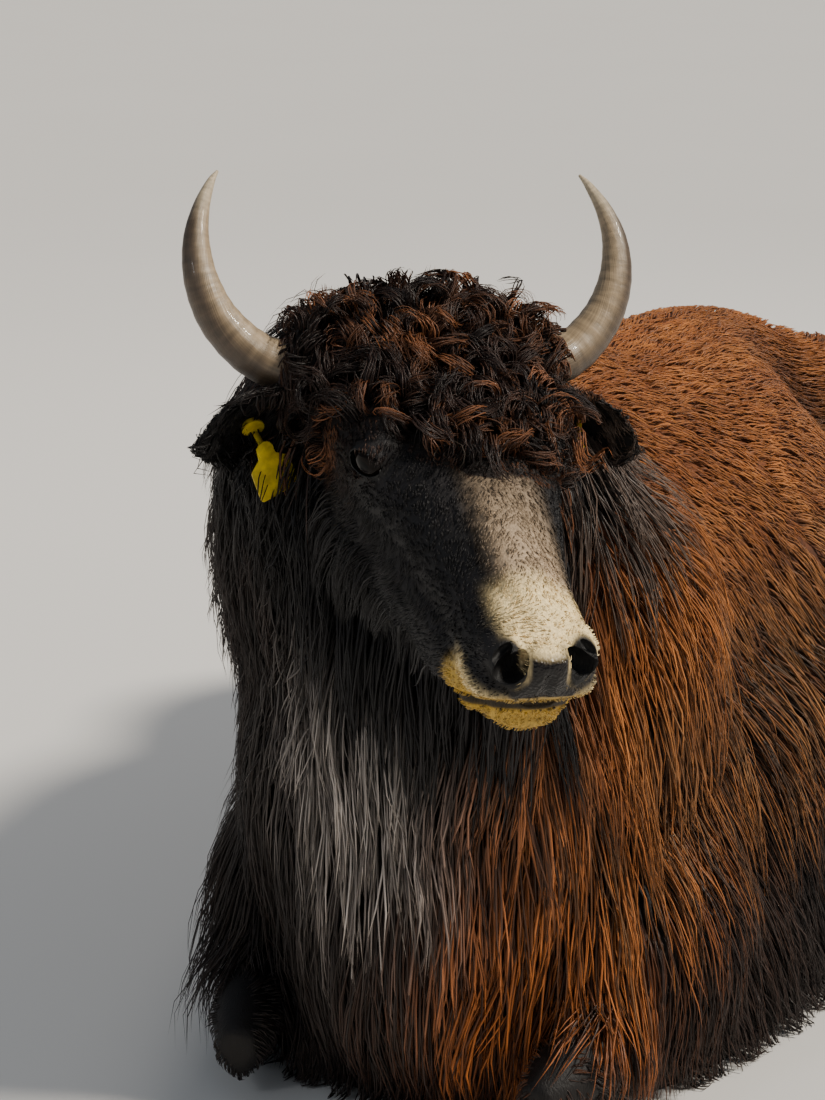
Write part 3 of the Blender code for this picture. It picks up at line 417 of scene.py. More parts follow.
def gathered(parts):
    """Several bmeshes as one, overlapping."""
    bm = bmesh.new()
    for part in parts:
        mesh = bpy.data.meshes.new("gathered")
        part.to_mesh(mesh)
        part.free()
        bm.from_mesh(mesh)
        bpy.data.meshes.remove(mesh)
    return bm


def applied(obj):
    """The object with its modifiers applied."""
    graph = bpy.context.evaluated_depsgraph_get()
    mesh = bpy.data.meshes.new_from_object(obj.evaluated_get(graph))
    old = obj.data
    obj.modifiers.clear()
    obj.data = mesh
    bpy.data.meshes.remove(old)
    return obj


def fused(name, parts, voxel, rounds):
    """One smooth skin over overlapping closed bmeshes."""
    obj = object_of(name, gathered(parts))
    remesh = obj.modifiers.new("skin", "REMESH")
    remesh.mode = "VOXEL"
    remesh.voxel_size = voxel
    smooth = obj.modifiers.new("smooth", "SMOOTH")
    smooth.factor = 0.5
    smooth.iterations = rounds
    return applied(obj)


def placed(obj, points):
    """The object with its points there."""
    obj.data.vertices.foreach_set("co", points.astype(np.float32).ravel())
    obj.data.update()
    return obj


def dented(obj, dents):
    """The object pushed along each dent's own vector, most at its centre."""
    points, _, _ = arrays(obj)
    moved = points.copy()
    for centre, radius, push in dents:
        moved += spot(points, centre, radius)[:, None] * np.array(push)
    return placed(obj, moved)


def copied(obj, name):
    twin = bpy.data.objects.new(name, obj.data.copy())
    bpy.context.scene.collection.objects.link(twin)
    return twin


def torso_forms():
    rows = spline(TORSO, 4)
    centres = np.column_stack([0 * rows[:, 0], rows[:, 0], rows[:, 1]])
    barrel = loft(sections(centres, (1, 0, 0), (1, 0, 0), rows[:, 2:], 32, 2.25))
    sides = [
        ball((0.180, -0.290, 0.38), (0.085, 0.160, 0.28), Matrix.Rotation(0.25, 3, "X")),
        ball((0.200, -0.330, 0.17), (0.095, 0.200, 0.15)),
        ball((0.215, 0.490, 0.30), (0.140, 0.290, 0.28)),
        ball((0.255, 0.360, 0.17), (0.120, 0.210, 0.17)),
        ball((0.130, 0.560, 0.548), (0.090, 0.150, 0.085)),
        ball((0.070, 0.765, 0.450), (0.065, 0.100, 0.085)),
    ]
    crest = ball((0, -0.160, 0.655), (0.080, 0.240, 0.120), Matrix.Rotation(-0.10, 3, "X"))
    brisket = ball((0, -0.470, 0.220), (0.160, 0.150, 0.210))
    return [barrel, crest, brisket, *sides, *(mirrored(form) for form in sides)]


def neck_forms():
    rows = spline(NECK, 5)
    sizes = np.column_stack([rows[:, 3:], 0.1 + 0 * rows[:, 0]])
    nape = ball((-0.058, -0.490, 0.805), (0.120, 0.085, 0.085), Matrix.Rotation(HEAD_YAW * 0.5, 3, "Z"))
    return [loft(sections(rows[:, :3], (1, 0, 0), IN_HEAD.col[0][:3], sizes, 28)), nape]


def hair_forms(reach):
    """Long hair as plain forms: throat, chest, skirt. The reach is the share of the way to the tips."""
    lift = HAIR_LENGTH * reach
    throat = ball((0.030, -0.585, 0.545), (0.130 + lift, 0.050 + lift, 0.200))
    chest = ball((0, -0.500, 0.330), (0.190 + lift, 0.100 + lift, 0.260 + lift))
    rings = []
    for height, wide, deep in SKIRT:
        turns = np.arange(40) * math.pi / 20
        x = (wide + lift) * np.sign(np.cos(turns)) * abs(np.cos(turns)) ** 0.8
        y = SKIRT_MIDDLE + (deep + lift) * np.sign(np.sin(turns)) * abs(np.sin(turns)) ** 0.8
        rings.append(np.column_stack([x, y, height + 0 * x]))
    return [throat, chest, loft(rings)]


def head_forms():
    """Skull, brows, cheeks, muzzle, lips and lids as overlapping forms."""
    rows = spline(HEAD, 5)
    centres = np.array([on_head(0, out, along) for along, out in rows[:, :2]])
    sizes = rows[:, 2:].copy()
    sizes[:, 3] *= -1
    left = IN_HEAD.col[0][:3]
    turn = HEAD_TURN
    forms = [
        loft(sections(centres, left, left, sizes, 32, 2.3)),
        ball(on_head(0, -0.012, 0.005), (0.112, 0.026, 0.040), turn),
        ball(on_head(0, -0.020, 0.290), (0.032, 0.018, 0.120), turn),
        ball(on_head(0, -0.050, 0.433), (0.035, 0.032, 0.021), turn),
        ball(on_head(0, -0.110, 0.405), (0.044, 0.022, 0.040), turn),
    ]
    for side in (-1, 1):
        forms += [
            ball(on_head(side * EYE_PLACE[0], *EYE_PLACE[1:]), (LID_RADIUS,) * 3, turn),
            ball(on_head(side * 0.082, -0.020, 0.140), (0.020, 0.015, 0.040), turn),
            ball(on_head(side * 0.068, -0.124, 0.115), (0.038, 0.086, 0.095), turn),
            ball(on_head(side * 0.060, -0.120, 0.210), (0.026, 0.050, 0.090), turn),
            ball(on_head(side * 0.033, -0.041, 0.414), (0.025, 0.023, 0.033), turn),
            ball(on_head(side * 0.035, -0.072, 0.410), (0.029, 0.024, 0.038), turn),
            ball(on_head(side * 0.040, -0.100, 0.372), (0.027, 0.034, 0.052), turn),
            ball(on_head(side * 0.046, -0.112, 0.305), (0.028, 0.040, 0.080), turn),
            ball(on_head(side * 0.106, -0.042, 0.006), (0.045, 0.034, 0.040), turn),
        ]
    return forms


def grooved(obj, line, width, depth):
    """The object pressed in along a line near its surface."""
    points, normals, _ = arrays(obj)
    gap = np.full(len(points), np.inf)
    for one, two in zip(line, line[1:]):
        one, run = np.array(one), np.array(two) - np.array(one)
        share = ((points - one) @ run / (run @ run)).clip(0, 1)
        gap = np.minimum(gap, np.linalg.norm(points - one - share[:, None] * run, axis=1))
    return placed(obj, points - normals * (depth * np.exp(-((gap / width) ** 2)))[:, None])


def body_dents():
    """Hollows before each hip, behind each shoulder and beside the root of the tail."""
    found = []
    for side in (-1, 1):
        found.append(((side * 0.20, 0.390, 0.60), 0.105, (-side * 0.030, 0, -0.030)))
        found.append(((side * 0.31, -0.100, 0.46), 0.11, (-side * 0.016, 0, 0)))
        found.append(((side * 0.16, 0.720, 0.54), 0.09, (-side * 0.015, 0, -0.010)))
    return found


def in_head(points):
    """Points given in the head's own directions, in the frame of the part."""
    return [tuple(on_head(*point)) for point in points]


def ear_lines(side):
    """Along an ear: its centres, its ways along, across and to the front, half widths and thicknesses."""
    rows = spline(EAR_LINE, 1)
    rows[:, 2] += EAR_FORWARD[side] * (rows[:, 0] - rows[0, 0])
    rows[:, 0] *= side
    centres = np.array(in_head(rows[:, :3]))
    along = unit(np.gradient(centres, axis=0))
    front = np.array((HEAD_TURN @ Vector((side * 0.25, -0.15, 0.95)))[:])
    front = unit(front - along * (along * front).sum(1, keepdims=True))
    return centres, along, np.cross(along, front), front, rows[:, 3], rows[:, 4]


def plate(outline, place, across, down, thickness):
    """A flat piece with the outline given across and down from its place."""
    through = across.cross(down)
    bm = bmesh.new()
    made = []
    for half in (-0.5, 0.5):
        centre = place + through * (half * thickness)
        made.append([bm.verts.new(centre + across * u + down * v) for u, v in outline])
    for i in range(len(outline)):
        j = (i + 1) % len(outline)
        bm.faces.new((made[0][i], made[0][j], made[1][j], made[1][i]))
    bm.faces.new(made[0])
    bm.faces.new(made[1])
    bmesh.ops.recalc_face_normals(bm, faces=bm.faces)
    return bm


# Skin

def pushed(obj, depth):
    """The object with each point moved in by the depth there."""
    points, normals, _ = arrays(obj)
    return placed(obj, points - normals * depth(points)[:, None])


def arrays(obj):
    """Points, normals and triangles of a mesh."""
    mesh = obj.data
    mesh.calc_loop_triangles()
    points = np.empty(len(mesh.vertices) * 3, np.float32)
    normals = np.empty(len(mesh.vertices) * 3, np.float32)
    triangles = np.empty(len(mesh.loop_triangles) * 3, np.int32)
    mesh.vertices.foreach_get("co", points)
    mesh.vertices.foreach_get("normal", normals)
    mesh.loop_triangles.foreach_get("vertices", triangles)
    return points.reshape(-1, 3).astype(float), normals.reshape(-1, 3).astype(float), triangles.reshape(-1, 3)


def combined(obj, other, operation):
    """The object with the other one added or taken away; the other one is then gone."""
    boolean = obj.modifiers.new(operation, "BOOLEAN")
    boolean.operation = operation
    boolean.solver = "MANIFOLD"
    boolean.object = other
    applied(obj)
    bpy.data.objects.remove(other)
    return obj


def eye_frame(side):
    """An eye's middle and the turn from the head to the way it faces."""
    return on_head(side * EYE_PLACE[0], *EYE_PLACE[1:]), HEAD_TURN @ Matrix.Rotation(-side * EYE_FORWARD, 3, "Y")


def lid_ring(side, wide, radius, start, stop):
    """Part of a fold round an eye: a tube that runs over the lids at that angle from the eye's facing."""
    centre, turn = eye_frame(side)
    turn = turn @ SLIT_TILT
    rows = []
    for angle in np.linspace(start, stop, 22):
        way = Vector((side, wide * EYE_SLIT[1] / EYE_RADIUS * math.sin(angle),
                      wide * EYE_SLIT[0] / EYE_RADIUS * math.cos(angle)))
        place = centre + (turn @ way.normalized()) * LID_RADIUS
        fade = radius * (0.55 + 0.45 * math.sin((angle - start) / (stop - start) * math.pi))
        rows.append((*place, fade, fade))
    return limb(rows, 8, 1, (0.3, 0.2, 0.9))


def slit(side):
    """A cutter for the opening between the lids, which faces outwards and a little forwards."""
    centre, turn = eye_frame(side)
    place = centre + turn @ Vector((side, 0.05, 0)) * EYE_RADIUS
    return object_of("slit", ball(place, (EYE_RADIUS, EYE_SLIT[1], EYE_SLIT[0]), turn @ SLIT_TILT, 24))


def nostril(side):
    """Cutters for one nostril, a drop that narrows upwards and outwards."""
    turn = HEAD_TURN @ Matrix.Rotation(side * math.radians(38), 3, "Y")
    turn = turn @ Matrix.Rotation(side * math.radians(30), 3, "Z")
    main = ball(on_head(side * NOSTRIL[0], *NOSTRIL[1:]), NOSTRIL_SIZE, turn, 24)
    tail = ball(on_head(side * (NOSTRIL[0] + 0.010), NOSTRIL[1] + 0.012, NOSTRIL[2] - 0.006),
                (0.006, 0.011, 0.018), turn, 16)
    return object_of("nostril", main), object_of("nostril", tail)


def head_skin():
    """The head and ears in fine mesh, with lids, nostrils, lips and folds."""
    forms = [*head_forms(), *(ear_form(side) for side in SIDES)]
    for side in SIDES:
        forms.append(lid_ring(side, 1.10, 0.0030, 0.0, 2 * math.pi))
        forms.append(lid_ring(side, 1.75, 0.0026, 0.35, math.pi - 0.35))
        forms.append(lid_ring(side, 1.80, 0.0022, math.pi + 0.5, 2 * math.pi - 0.5))
    head = fused("head", forms, HEAD_VOXEL[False], 3)
    pushed(head, lambda points: HEAD_COAT_DEPTH * (1 - nose_share(points)) * (1 - lid_share(points)))
    pushed(head, lambda points: MOUTH_GROOVE[1] * np.exp(-((mouth_distance(points) / MOUTH_GROOVE[0]) ** 2)) * (
        seen_from_head(points)[:, 2] > 0.3))
    for side in SIDES:
        for fold in MUZZLE_FOLDS:
            grooved(head, in_head([(side * left, out, along) for left, out, along in fold]), *FOLD_SIZE)
    for side in SIDES:
        for cutter in (slit(side), *nostril(side)):
            combined(head, cutter, "DIFFERENCE")
    return head


def body_skin():
    """Torso and neck, with the neck's right side fuller."""
    forms = [*torso_forms(), *neck_forms(), *hair_forms(SKIN_REACH)]
    body = dented(fused("body", forms, BODY_VOXEL[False], BODY_ROUNDS[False]), body_dents())
    return pushed(body, lambda points: COAT_DEPTH - HAIRY_SIDE_DEPTH * spot(points, *HAIRY_SIDE))


def ear_form(side):
    """A leaf with a hollow front, which opens forward and a little down."""
    centres, _, across, front, wides, thicks = ear_lines(side)
    rings = []
    for i, (centre, wide, thick) in enumerate(zip(centres, wides * EAR_SPREAD, thicks)):
        share = i / (len(centres) - 1)
        cup = EAR_CUP * math.sin(math.pi * min(1.0, 0.15 + share)) * wide
        ring = []
        for turn in np.linspace(-1, 1, 9):
            ring.append((turn, -cup * (1 - turn * turn) - thick * 0.5 * (1 - abs(turn) ** 3)))
        for turn in np.linspace(1, -1, 9)[1:-1]:
            ring.append((turn, -cup * (1 - turn * turn) + thick * 0.5 * (1 - abs(turn) ** 3)))
        rings.append([centre + across[i] * (turn * wide) + front[i] * depth for turn, depth in ring])
    return loft(rings)


def leg_skin():
    limbs = []
    for side in SIDES:
        for rows in (FOREARM, FORE_CANNON, SHANK, HIND_CANNON):
            limbs.append(limb(np.array(rows) * (side, 1, 1, 1, 1) - (0, 0, 0, LEG_COAT_DEPTH, LEG_COAT_DEPTH)))
    return fused("legs", limbs, LEG_VOXEL, 4)


def tail_skin():
    return object_of("tail", limb(np.array(TAIL) * (1, 1, 1, TAIL_CORE, TAIL_CORE)))


# Growing hair

def nearest(tree, points):
    """The nearest places on a surface, and the ways it faces there."""
    found = [tree.find_nearest(point)[:2] for point in points]
    return np.array([a[:] for a, _ in found]), np.array([b[:] for _, b in found])


def tree_of(obj):
    points, _, triangles = arrays(obj)
    return BVHTree.FromPolygons(points.tolist(), triangles.tolist())


def scattered(obj, per_area, draw, weight, skin, whole=False):
    """Random places on a mesh where it is also the skin's own surface, with the ways it faces."""
    points, normals, triangles = arrays(obj)
    corners = points[triangles]
    areas = np.linalg.norm(np.cross(corners[:, 1] - corners[:, 0], corners[:, 2] - corners[:, 0]), axis=1) / 2
    chance = areas * weight(corners.mean(1))
    count = int(chance.sum() * per_area * (QUICK_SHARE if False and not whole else 1))
    picked = draw.choice(len(triangles), count, p=chance / chance.sum())
    a, b = draw.random((2, count))
    a, b = np.where(a + b > 1, 1 - a, a), np.where(a + b > 1, 1 - b, b)
    share = np.column_stack([1 - a - b, a, b])[:, :, None]
    places = (corners[picked] * share).sum(1)
    ways = unit((normals[triangles[picked]] * share).sum(1))
    near, _ = nearest(skin, places)
    kept = (np.linalg.norm(near - places, axis=1) < ON_SKIN) & (places[:, 2] > LOWEST_ROOT)
    return places[kept], ways[kept]


def dot(a, b):
    return (a * b).sum(-1, keepdims=True)


def grown(roots, normals, ways, lengths, tree, draw, lift=0.35, stand=(0.004, 0.02), hang=0.12, hug=0.35, bend=0.1,
          steps=9):
    """Guide lines that leave the roots, bend along the surface and hang: points and the ways out, step by step."""
    step = (lengths / steps)[:, None]
    heading = unit(ways - normals * dot(ways, normals))
    aside = np.cross(heading, normals)
    heading = unit(heading + normals * lift)
    bends = draw.normal(0, bend, len(roots))[:, None]
    stands = stand[0] + (stand[1] - stand[0]) * draw.uniform(0.3, 1.0, len(roots))[:, None]
    points, outs = [roots], [normals]
    for i in range(steps):
        share = (i + 1) / steps
        heading = unit(heading + np.array([0, 0, -hang]) + aside * (bends * math.cos(share * math.pi)))
        target = points[-1] + heading * step
        near, facing = nearest(tree, target)
        gap = dot(target - near, facing)
        wanted = stand[0] + (stands - stand[0]) * min(1.0, share * 2.0)
        target = target + facing * np.where(gap < wanted, wanted - gap, (wanted - gap) * hug)
        target[:, 2] = np.maximum(target[:, 2], FLOOR_CLEARANCE)
        heading = unit(target - points[-1])
        points.append(target)
        outs.append(unit(outs[-1] * 2 + facing))
    return np.array(points), np.array(outs)


def curled(roots, normals, lengths, tree, draw, radius, steps=16, rise=0.35, low=0.002):
    """Guide lines that coil over the surface like curls."""
    step = (lengths / steps)[:, None]
    around = unit(np.cross(normals, draw.normal(0, 1, roots.shape)))
    axis = unit(normals * draw.normal(0, 0.55, len(roots))[:, None] + np.cross(around, normals) + 1e-6)
    heading = unit(around + normals * rise)
    turn = lengths / steps / (radius * draw.uniform(0.7, 1.4, len(roots)))
    cos, sin = np.cos(turn)[:, None], np.sin(turn)[:, None]
    points, outs = [roots], [normals]
    for _ in range(steps):
        heading = unit(heading * cos + np.cross(axis, heading) * sin + axis * dot(axis, heading) * (1 - cos))
        target = points[-1] + (heading + axis * 0.22) * step
        near, facing = nearest(tree, target)
        gap = dot(target - near, facing)
        target = target + facing * np.where(gap < low, low - gap, 0)
        points.append(target)
        outs.append(unit(np.cross(heading, axis)))
    return np.array(points), np.array(outs)


def spread(guides, roots, normals, draw, stations, clump=0.7, wave=0.0, turns=1.5, vary=0.15, lay=0.0, blend=3):
    """Each root's own line: it runs between its nearest guides and draws towards the first of them."""
    points, outs = guides
    tree = KDTree(points.shape[1])
    for i, point in enumerate(points[0]):
        tree.insert(point, i)
    tree.balance()
    near = [tree.find_n(root, blend) for root in roots]
    index = np.array([[hit[1] for hit in hits] for hits in near])
    pull = 1 / (np.array([[hit[2] for hit in hits] for hits in near]) + 0.004)
    pull /= pull.sum(1, keepdims=True)
    count = len(roots)
    share = np.linspace(0, 1, stations)
    reach = (1 - vary * draw.random(count))[:, None] * share * (len(points) - 1)
    low = np.minimum(reach.astype(int), len(points) - 2)
    part = (reach - low)[:, :, None]
    lines, ways = 0, 0
    for k in range(blend):
        own = index[:, k, None]
        line = points[low, own] * (1 - part) + points[low + 1, own] * part
        if k == 0:
            first = line
        lines = lines + (line - points[0][own]) * pull[:, k, None, None]
        ways = ways + (outs[low, own] * (1 - part) + outs[low + 1, own] * part) * pull[:, k, None, None]
    ways = unit(ways)
    drawn = clump * share[None, :, None] ** 1.2
    lines = (lines + roots[:, None]) * (1 - drawn) + first * drawn
    index = index[:, 0]
    along = unit(np.gradient(lines, axis=1))
    aside = np.cross(along, ways)
    phase = draw.uniform(0, 2 * math.pi, (count, 2))
    grow = share[None, :] ** 0.8
    for way, angle, size in ((aside, phase[:, :1], 1.0), (ways, phase[:, 1:], 0.5)):
        swing = np.sin(angle + share[None, :] * turns * 2 * math.pi) - np.sin(angle) * (1 - share[None, :])
        lines = lines + way * (swing * grow * wave * size)[:, :, None]
    lines = lines + ways * (draw.random(count) * lay)[:, None, None] * share[None, :, None]
    lines[:, 0] = roots - normals * ROOT_DEPTH
    lines[:, :, 2] = np.maximum(lines[:, :, 2], FLOOR_CLEARANCE)
    return lines, ways, index


def hair_piece(name, lines, ways, widths, tints, places):
    """Closed, three-sided tapered tufts along the lines, as one mesh. Tints: colour at root and tip."""
    count, stations, _ = lines.shape
    rings = stations - 1
    share = np.linspace(0, 1, stations)
    along = unit(np.gradient(lines, axis=1) + 1e-9)
    across = unit(np.cross(along, ways) + 1e-9)
    out = np.cross(across, along)
    profile = (1 - share ** 2 * TUFT_TAPER) * np.minimum(1, 0.6 + share * 2)
    half = 0.5 * widths[:, None, None] * profile[None, :, None]
    corners = np.stack([lines - across * half, lines + out * (half * 2 * TUFT_DEPTH), lines + across * half], axis=2)
    points = np.concatenate([corners[:, :-1].reshape(count, rings * 3, 3), lines[:, -1:]], axis=1)
    points[:, :, 2] = np.maximum(points[:, :, 2], FLOOR_CLEARANCE * 0.5)
    each = rings * 3 + 1
    faces = [(0, 1, 2)]
    for k in range(rings - 1):
        for i in range(3):
            a, b = k * 3 + i, k * 3 + (i + 1) % 3
            faces += [(a, a + 3, b + 3), (a, b + 3, b)]
    last = (rings - 1) * 3
    faces += [(last + i, each - 1, last + (i + 1) % 3) for i in range(3)]
    faces = np.array(faces)
    triangles = (faces[None] + (np.arange(count) * each)[:, None, None]).reshape(-1, 3)
    mesh = bpy.data.meshes.new(name)
    mesh.vertices.add(count * each)
    mesh.vertices.foreach_set("co", points.astype(np.float32).ravel())
    mesh.loops.add(triangles.size)
    mesh.loops.foreach_set("vertex_index", triangles.astype(np.int32).ravel())
    mesh.polygons.add(len(triangles))
    mesh.polygons.foreach_set("loop_start", np.arange(0, triangles.size, 3, dtype=np.int32))
    mesh.update(calc_edges=True)
    mesh.shade_smooth()
    height = np.append(np.repeat(share[:-1], 3), 1.0)
    over = np.append(np.tile([0.0, 0.5, 1.0], rings), 0.5)
    root, tip = tints
    # each tuft darker at its root than at its tip: partly the hair's own colour, partly painted shade deep in the coat
    colours = root[:, None, :] * (1 - height[None, :, None]) + tip[:, None, :] * height[None, :, None]
    painted(mesh, "tint", colours.reshape(-1, 3))
    corner = triangles.ravel() % each
    own = triangles.ravel() // each
    bake = places[own] + BAKE_PATCH * (np.column_stack([over[corner], height[corner]]) - 0.5)
    mapped(mesh, "OFBake", bake)
    lengths = np.linalg.norm(np.diff(lines, axis=1), axis=2).sum(1)
    mapped(mesh, "Strand", np.column_stack([over[corner] + own * 3.17, height[corner] * lengths[own] * 12]))
    obj = bpy.data.objects.new(name, mesh)
    bpy.context.scene.collection.objects.link(obj)
    return obj


def painted(mesh, name, colours):
    layer = mesh.color_attributes.new(name, "FLOAT_COLOR", "POINT")
    values = np.column_stack([colours, np.ones(len(colours))])
    layer.data.foreach_set("color", values.astype(np.float32).ravel())


def mapped(mesh, name, places):
    layer = mesh.uv_layers.new(name=name)
    layer.data.foreach_set("uv", places.astype(np.float32).ravel())


def unwrapped(skin):
    """A light copy of the skin with an unwrap of its own: a tree over it, its triangles and their places."""
    light = bpy.data.objects.new("unwrap", skin.data.copy())
    bpy.context.scene.collection.objects.link(light)
    decimate = light.modifiers.new("thin", "DECIMATE")
    decimate.ratio = UNWRAP_FACES / len(light.data.polygons)
    applied(light)
    bpy.context.view_layer.objects.active = light
    light.select_set(True)
    bpy.ops.object.mode_set(mode="EDIT")
    bpy.ops.mesh.select_all(action="SELECT")
    bpy.ops.uv.smart_project(angle_limit=1.15, island_margin=0.002)
    bpy.ops.object.mode_set(mode="OBJECT")
    points, _, triangles = arrays(light)
    loops = np.empty(len(light.data.loop_triangles) * 3, np.int32)
    light.data.loop_triangles.foreach_get("loops", loops)
    places = np.empty(len(light.data.loops) * 2, np.float32)
    light.data.uv_layers.active.data.foreach_get("uv", places)
    tree = tree_of(light)
    bpy.data.objects.remove(light)
    return tree, points[triangles], places.reshape(-1, 2)[loops.reshape(-1, 3)]


def bake_places(roots, unwrap):
    """Where each root lies on the unwrap."""
    tree, corners, places = unwrap
    hits = [tree.find_nearest(root) for root in roots]
    index = np.array([hit[2] for hit in hits])
    at = np.array([hit[0][:] for hit in hits])
    a, b, c = corners[index].transpose(1, 0, 2)
    whole = np.cross(b - a, c - a)
    size = dot(whole, whole) + 1e-18
    one = dot(np.cross(c - b, at - b), whole) / size
    two = dot(np.cross(a - c, at - c), whole) / size
    weights = np.clip(np.concatenate([one, two, 1 - one - two], axis=1), 0, 1)
    weights /= weights.sum(1, keepdims=True)
    return (places[index] * weights[:, :, None]).sum(1)


# Markings

def ramp(values, start, stop):
    """0 before the start, 1 past the stop, smooth between."""
    share = np.clip((values - start) / (stop - start), 0, 1)
    return share * share * (3 - 2 * share)


def spot(points, centre, radii):
    return np.exp(-(((points - np.array(centre)) / np.array(radii)) ** 2).sum(1))


def seen_from_head(points):
    """The points in the head's own directions: left, out, along."""
    return (points - np.array(POLL)) @ HEAD_AXES


def in_half_head(points):
    """The same directions one by one, with the right half laid over the left one."""
    left, out, along = seen_from_head(points).T
    return abs(left), out, along


def evenly(tint, points):
    """One colour, given to every point."""
    return np.tile(tint, (len(points), 1))


def mixed(base, other, share):
    share = np.asarray(share)[:, None]
    return base * (1 - share) + other * share


def rough(points, scale, seed=0.0):
    """Soft blotches from 0 to 1."""
    p = points * scale + seed
    value = np.sin(p[:, 0] * 1.7 + np.sin(p[:, 1] * 1.3 + seed)) + np.sin(p[:, 1] * 1.9 + np.sin(p[:, 2] * 1.1))
    value = value + np.sin(p[:, 2] * 1.5 + np.sin(p[:, 0] * 2.3 + 1.0))
    return 0.5 + value / 6


def head_share(points):
    """1 on the head, 0 on the neck."""
    q = seen_from_head(points)
    reach = np.linalg.norm((q - np.array([0, -0.09, 0.0])) / np.array([0.15, 0.17, 1.0]), axis=1)
    return ramp(q[:, 2], -0.075, -0.02) * (1 - ramp(reach, 1.0, 1.25))


def markings(points):
    """The coat's colour at the roots and at the tips of the hair, with painted shade and painted light in places."""
    x, y, z = points.T
    blotch = rough(points, 14)
    fine = rough(points, 47, 3.0)
    base = mixed(evenly(SHOULDER[0], points), SHOULDER[1], blotch)
    tips = mixed(evenly(SHOULDER_TIP[0], points), SHOULDER_TIP[1], fine)
    # dark along the skirt, on the rump, legs and tail; painted shade in the flank hollow before the left hip
    dark = np.maximum(ramp(-z, -0.40, -0.24), spot(points, (0.25, 0.38, 0.60), (0.16, 0.10, 0.20)))
    dark = np.maximum(dark, ramp(y, 0.50, 0.75))
    strand = ramp(rough(points, 260, 5.0), 0.35, 0.65)
    dark = np.maximum(dark, ramp(-z, -0.58, -0.42) * (1 - 0.55 * strand) * ramp(x, 0.0, 0.1))
    # darker over the right side, which faces away from the key light: painted shade
    dark = np.maximum(dark, ramp(-x, -0.02, 0.20) * 0.75)
    # the neck and chest are near black, rust coloured towards the left shoulder
    front = ramp(-y, 0.20, 0.36) * (1 - ramp(x, 0.08, 0.20))
    chest = ramp(-y, 0.28, 0.42) * (1 - ramp(z, 0.50, 0.62)) * (1 - ramp(rough(points, 230, 2.0), 0.40, 0.62))
    dark = np.maximum(dark, np.maximum(front, chest * 0.85))
    base = mixed(base, DARK, dark)
    tips = mixed(tips, mixed(evenly(DARK_TIP[0], points), DARK_TIP[1], fine), dark)
    rust = spot(points, (0.14, -0.52, 0.33), (0.10, 0.20, 0.20))
    tips = mixed(tips, RUST_TIP, np.clip(rust * 1.3, 0, 1) * (0.10 + 0.80 * strand))
    # a pale grey patch on the chest: painted highlight of sunlight on the black hair
    chest_sheen = spot(points, (-0.02, -0.62, 0.49), (0.085, 0.15, 0.11))
    tips = mixed(tips, PAINTED_SHEEN_TIP, np.clip(chest_sheen * 1.4, 0, 1) * (0.25 + 0.75 * strand))
    # pale gold streaks over the left flank: painted sheen
    left_flank_sheen = ramp(x, 0.10, 0.22) * (1 - ramp(z, 0.52, 0.62)) * (1 - ramp(-z, -0.40, -0.25))
    tips = mixed(tips, GOLD_SHEEN_TIP, left_flank_sheen * fine * 0.5)
    # the head
    head = head_share(points)
    q = seen_from_head(points)
    out, along = q[:, 1], q[:, 2]
    face = mixed(evenly(FACE[0], points), FACE[1], fine)
    # the pale bridge and the muzzle top are partly their own paler hair and partly a painted highlight, set off towards
    # the lit left side
    middle = abs(q[:, 0] - SHIFT_TO_LIT_SIDE)
    bridge = ramp(-middle, -0.050, -0.020) * ramp(out, -0.055, -0.028) * ramp(along, 0.13, 0.25)
    face = mixed(face, BRIDGE, bridge * (0.55 + 0.45 * ramp(along, 0.22, 0.34)))
    top = ramp(-middle, -0.060, -0.036) * ramp(out, -0.062, -0.034) * ramp(along, 0.335, 0.375)
    lip = ramp(-out, 0.062, 0.080) * ramp(along, 0.365, 0.395)
    face = mixed(face, MUZZLE, np.maximum(top, lip))
    mouth = mouth_distance(points)
    lips = ramp(-out, 0.078, 0.092) * ramp(along, 0.360, 0.385)
    face = mixed(face, LIP, np.maximum(lips * 0.9, lip * ramp(-mouth, -0.013, -0.007)))
    # near black along the mouth line: painted shade in the groove between the lips
    face = mixed(face, FACE[0], ramp(-mouth, -0.0060, -0.0025) * 0.95)
    forelock = np.maximum(ramp(-along, -0.185, -0.120) * ramp(out, -0.12, -0.08), ramp(forelock_share(points), 0, 0.1))
    base = mixed(base, face, head)
    tips = mixed(tips, face * 1.25, head)
    base = mixed(base, CURL[0], head * forelock)
    tips = mixed(tips, mixed(evenly(CURL[1], points), CURL[2], ramp(fine, 0.45, 0.8)), head * forelock)
    ears = ear_share(points)
    base = mixed(base, EAR[0], ears)
    # paler tips on the left ear, which faces the key light: painted light
    tips = mixed(tips, mixed(evenly(EAR[1], points), EAR[2], ramp(q[:, 0], 0.10, 0.14)), ears)
    bare = nose_share(points)
    base = mixed(base, NOSE, bare)
    # near black inside the nostrils: painted shade in the openings; the lids are darker as their own skin
    base = mixed(base, FACE[0] * 0.5, np.maximum(nostril_share(points), head * lid_share(points)))
    return base, tips


def mouth_distance(points):
    """How far each point lies above or below the mouth line."""
    q = seen_from_head(points)
    line = np.array(MOUTH_LINE)[::-1]
    gap = abs(q[:, 1] - np.interp(q[:, 2], line[:, 2], line[:, 1])) * 0.8
    return gap + np.clip(line[0, 2] - q[:, 2], 0, None) * 2


def nostril_share(points):
    """1 in the nostrils and on their rims."""
    q = seen_from_head(points)
    q = np.column_stack([abs(q[:, 0]), q[:, 1:]]) - NOSTRIL + (0, 0.002, 0.012)
    return ramp(-np.linalg.norm(q / (0.0165, 0.0190, 0.040), axis=1), -1.10, -0.94)


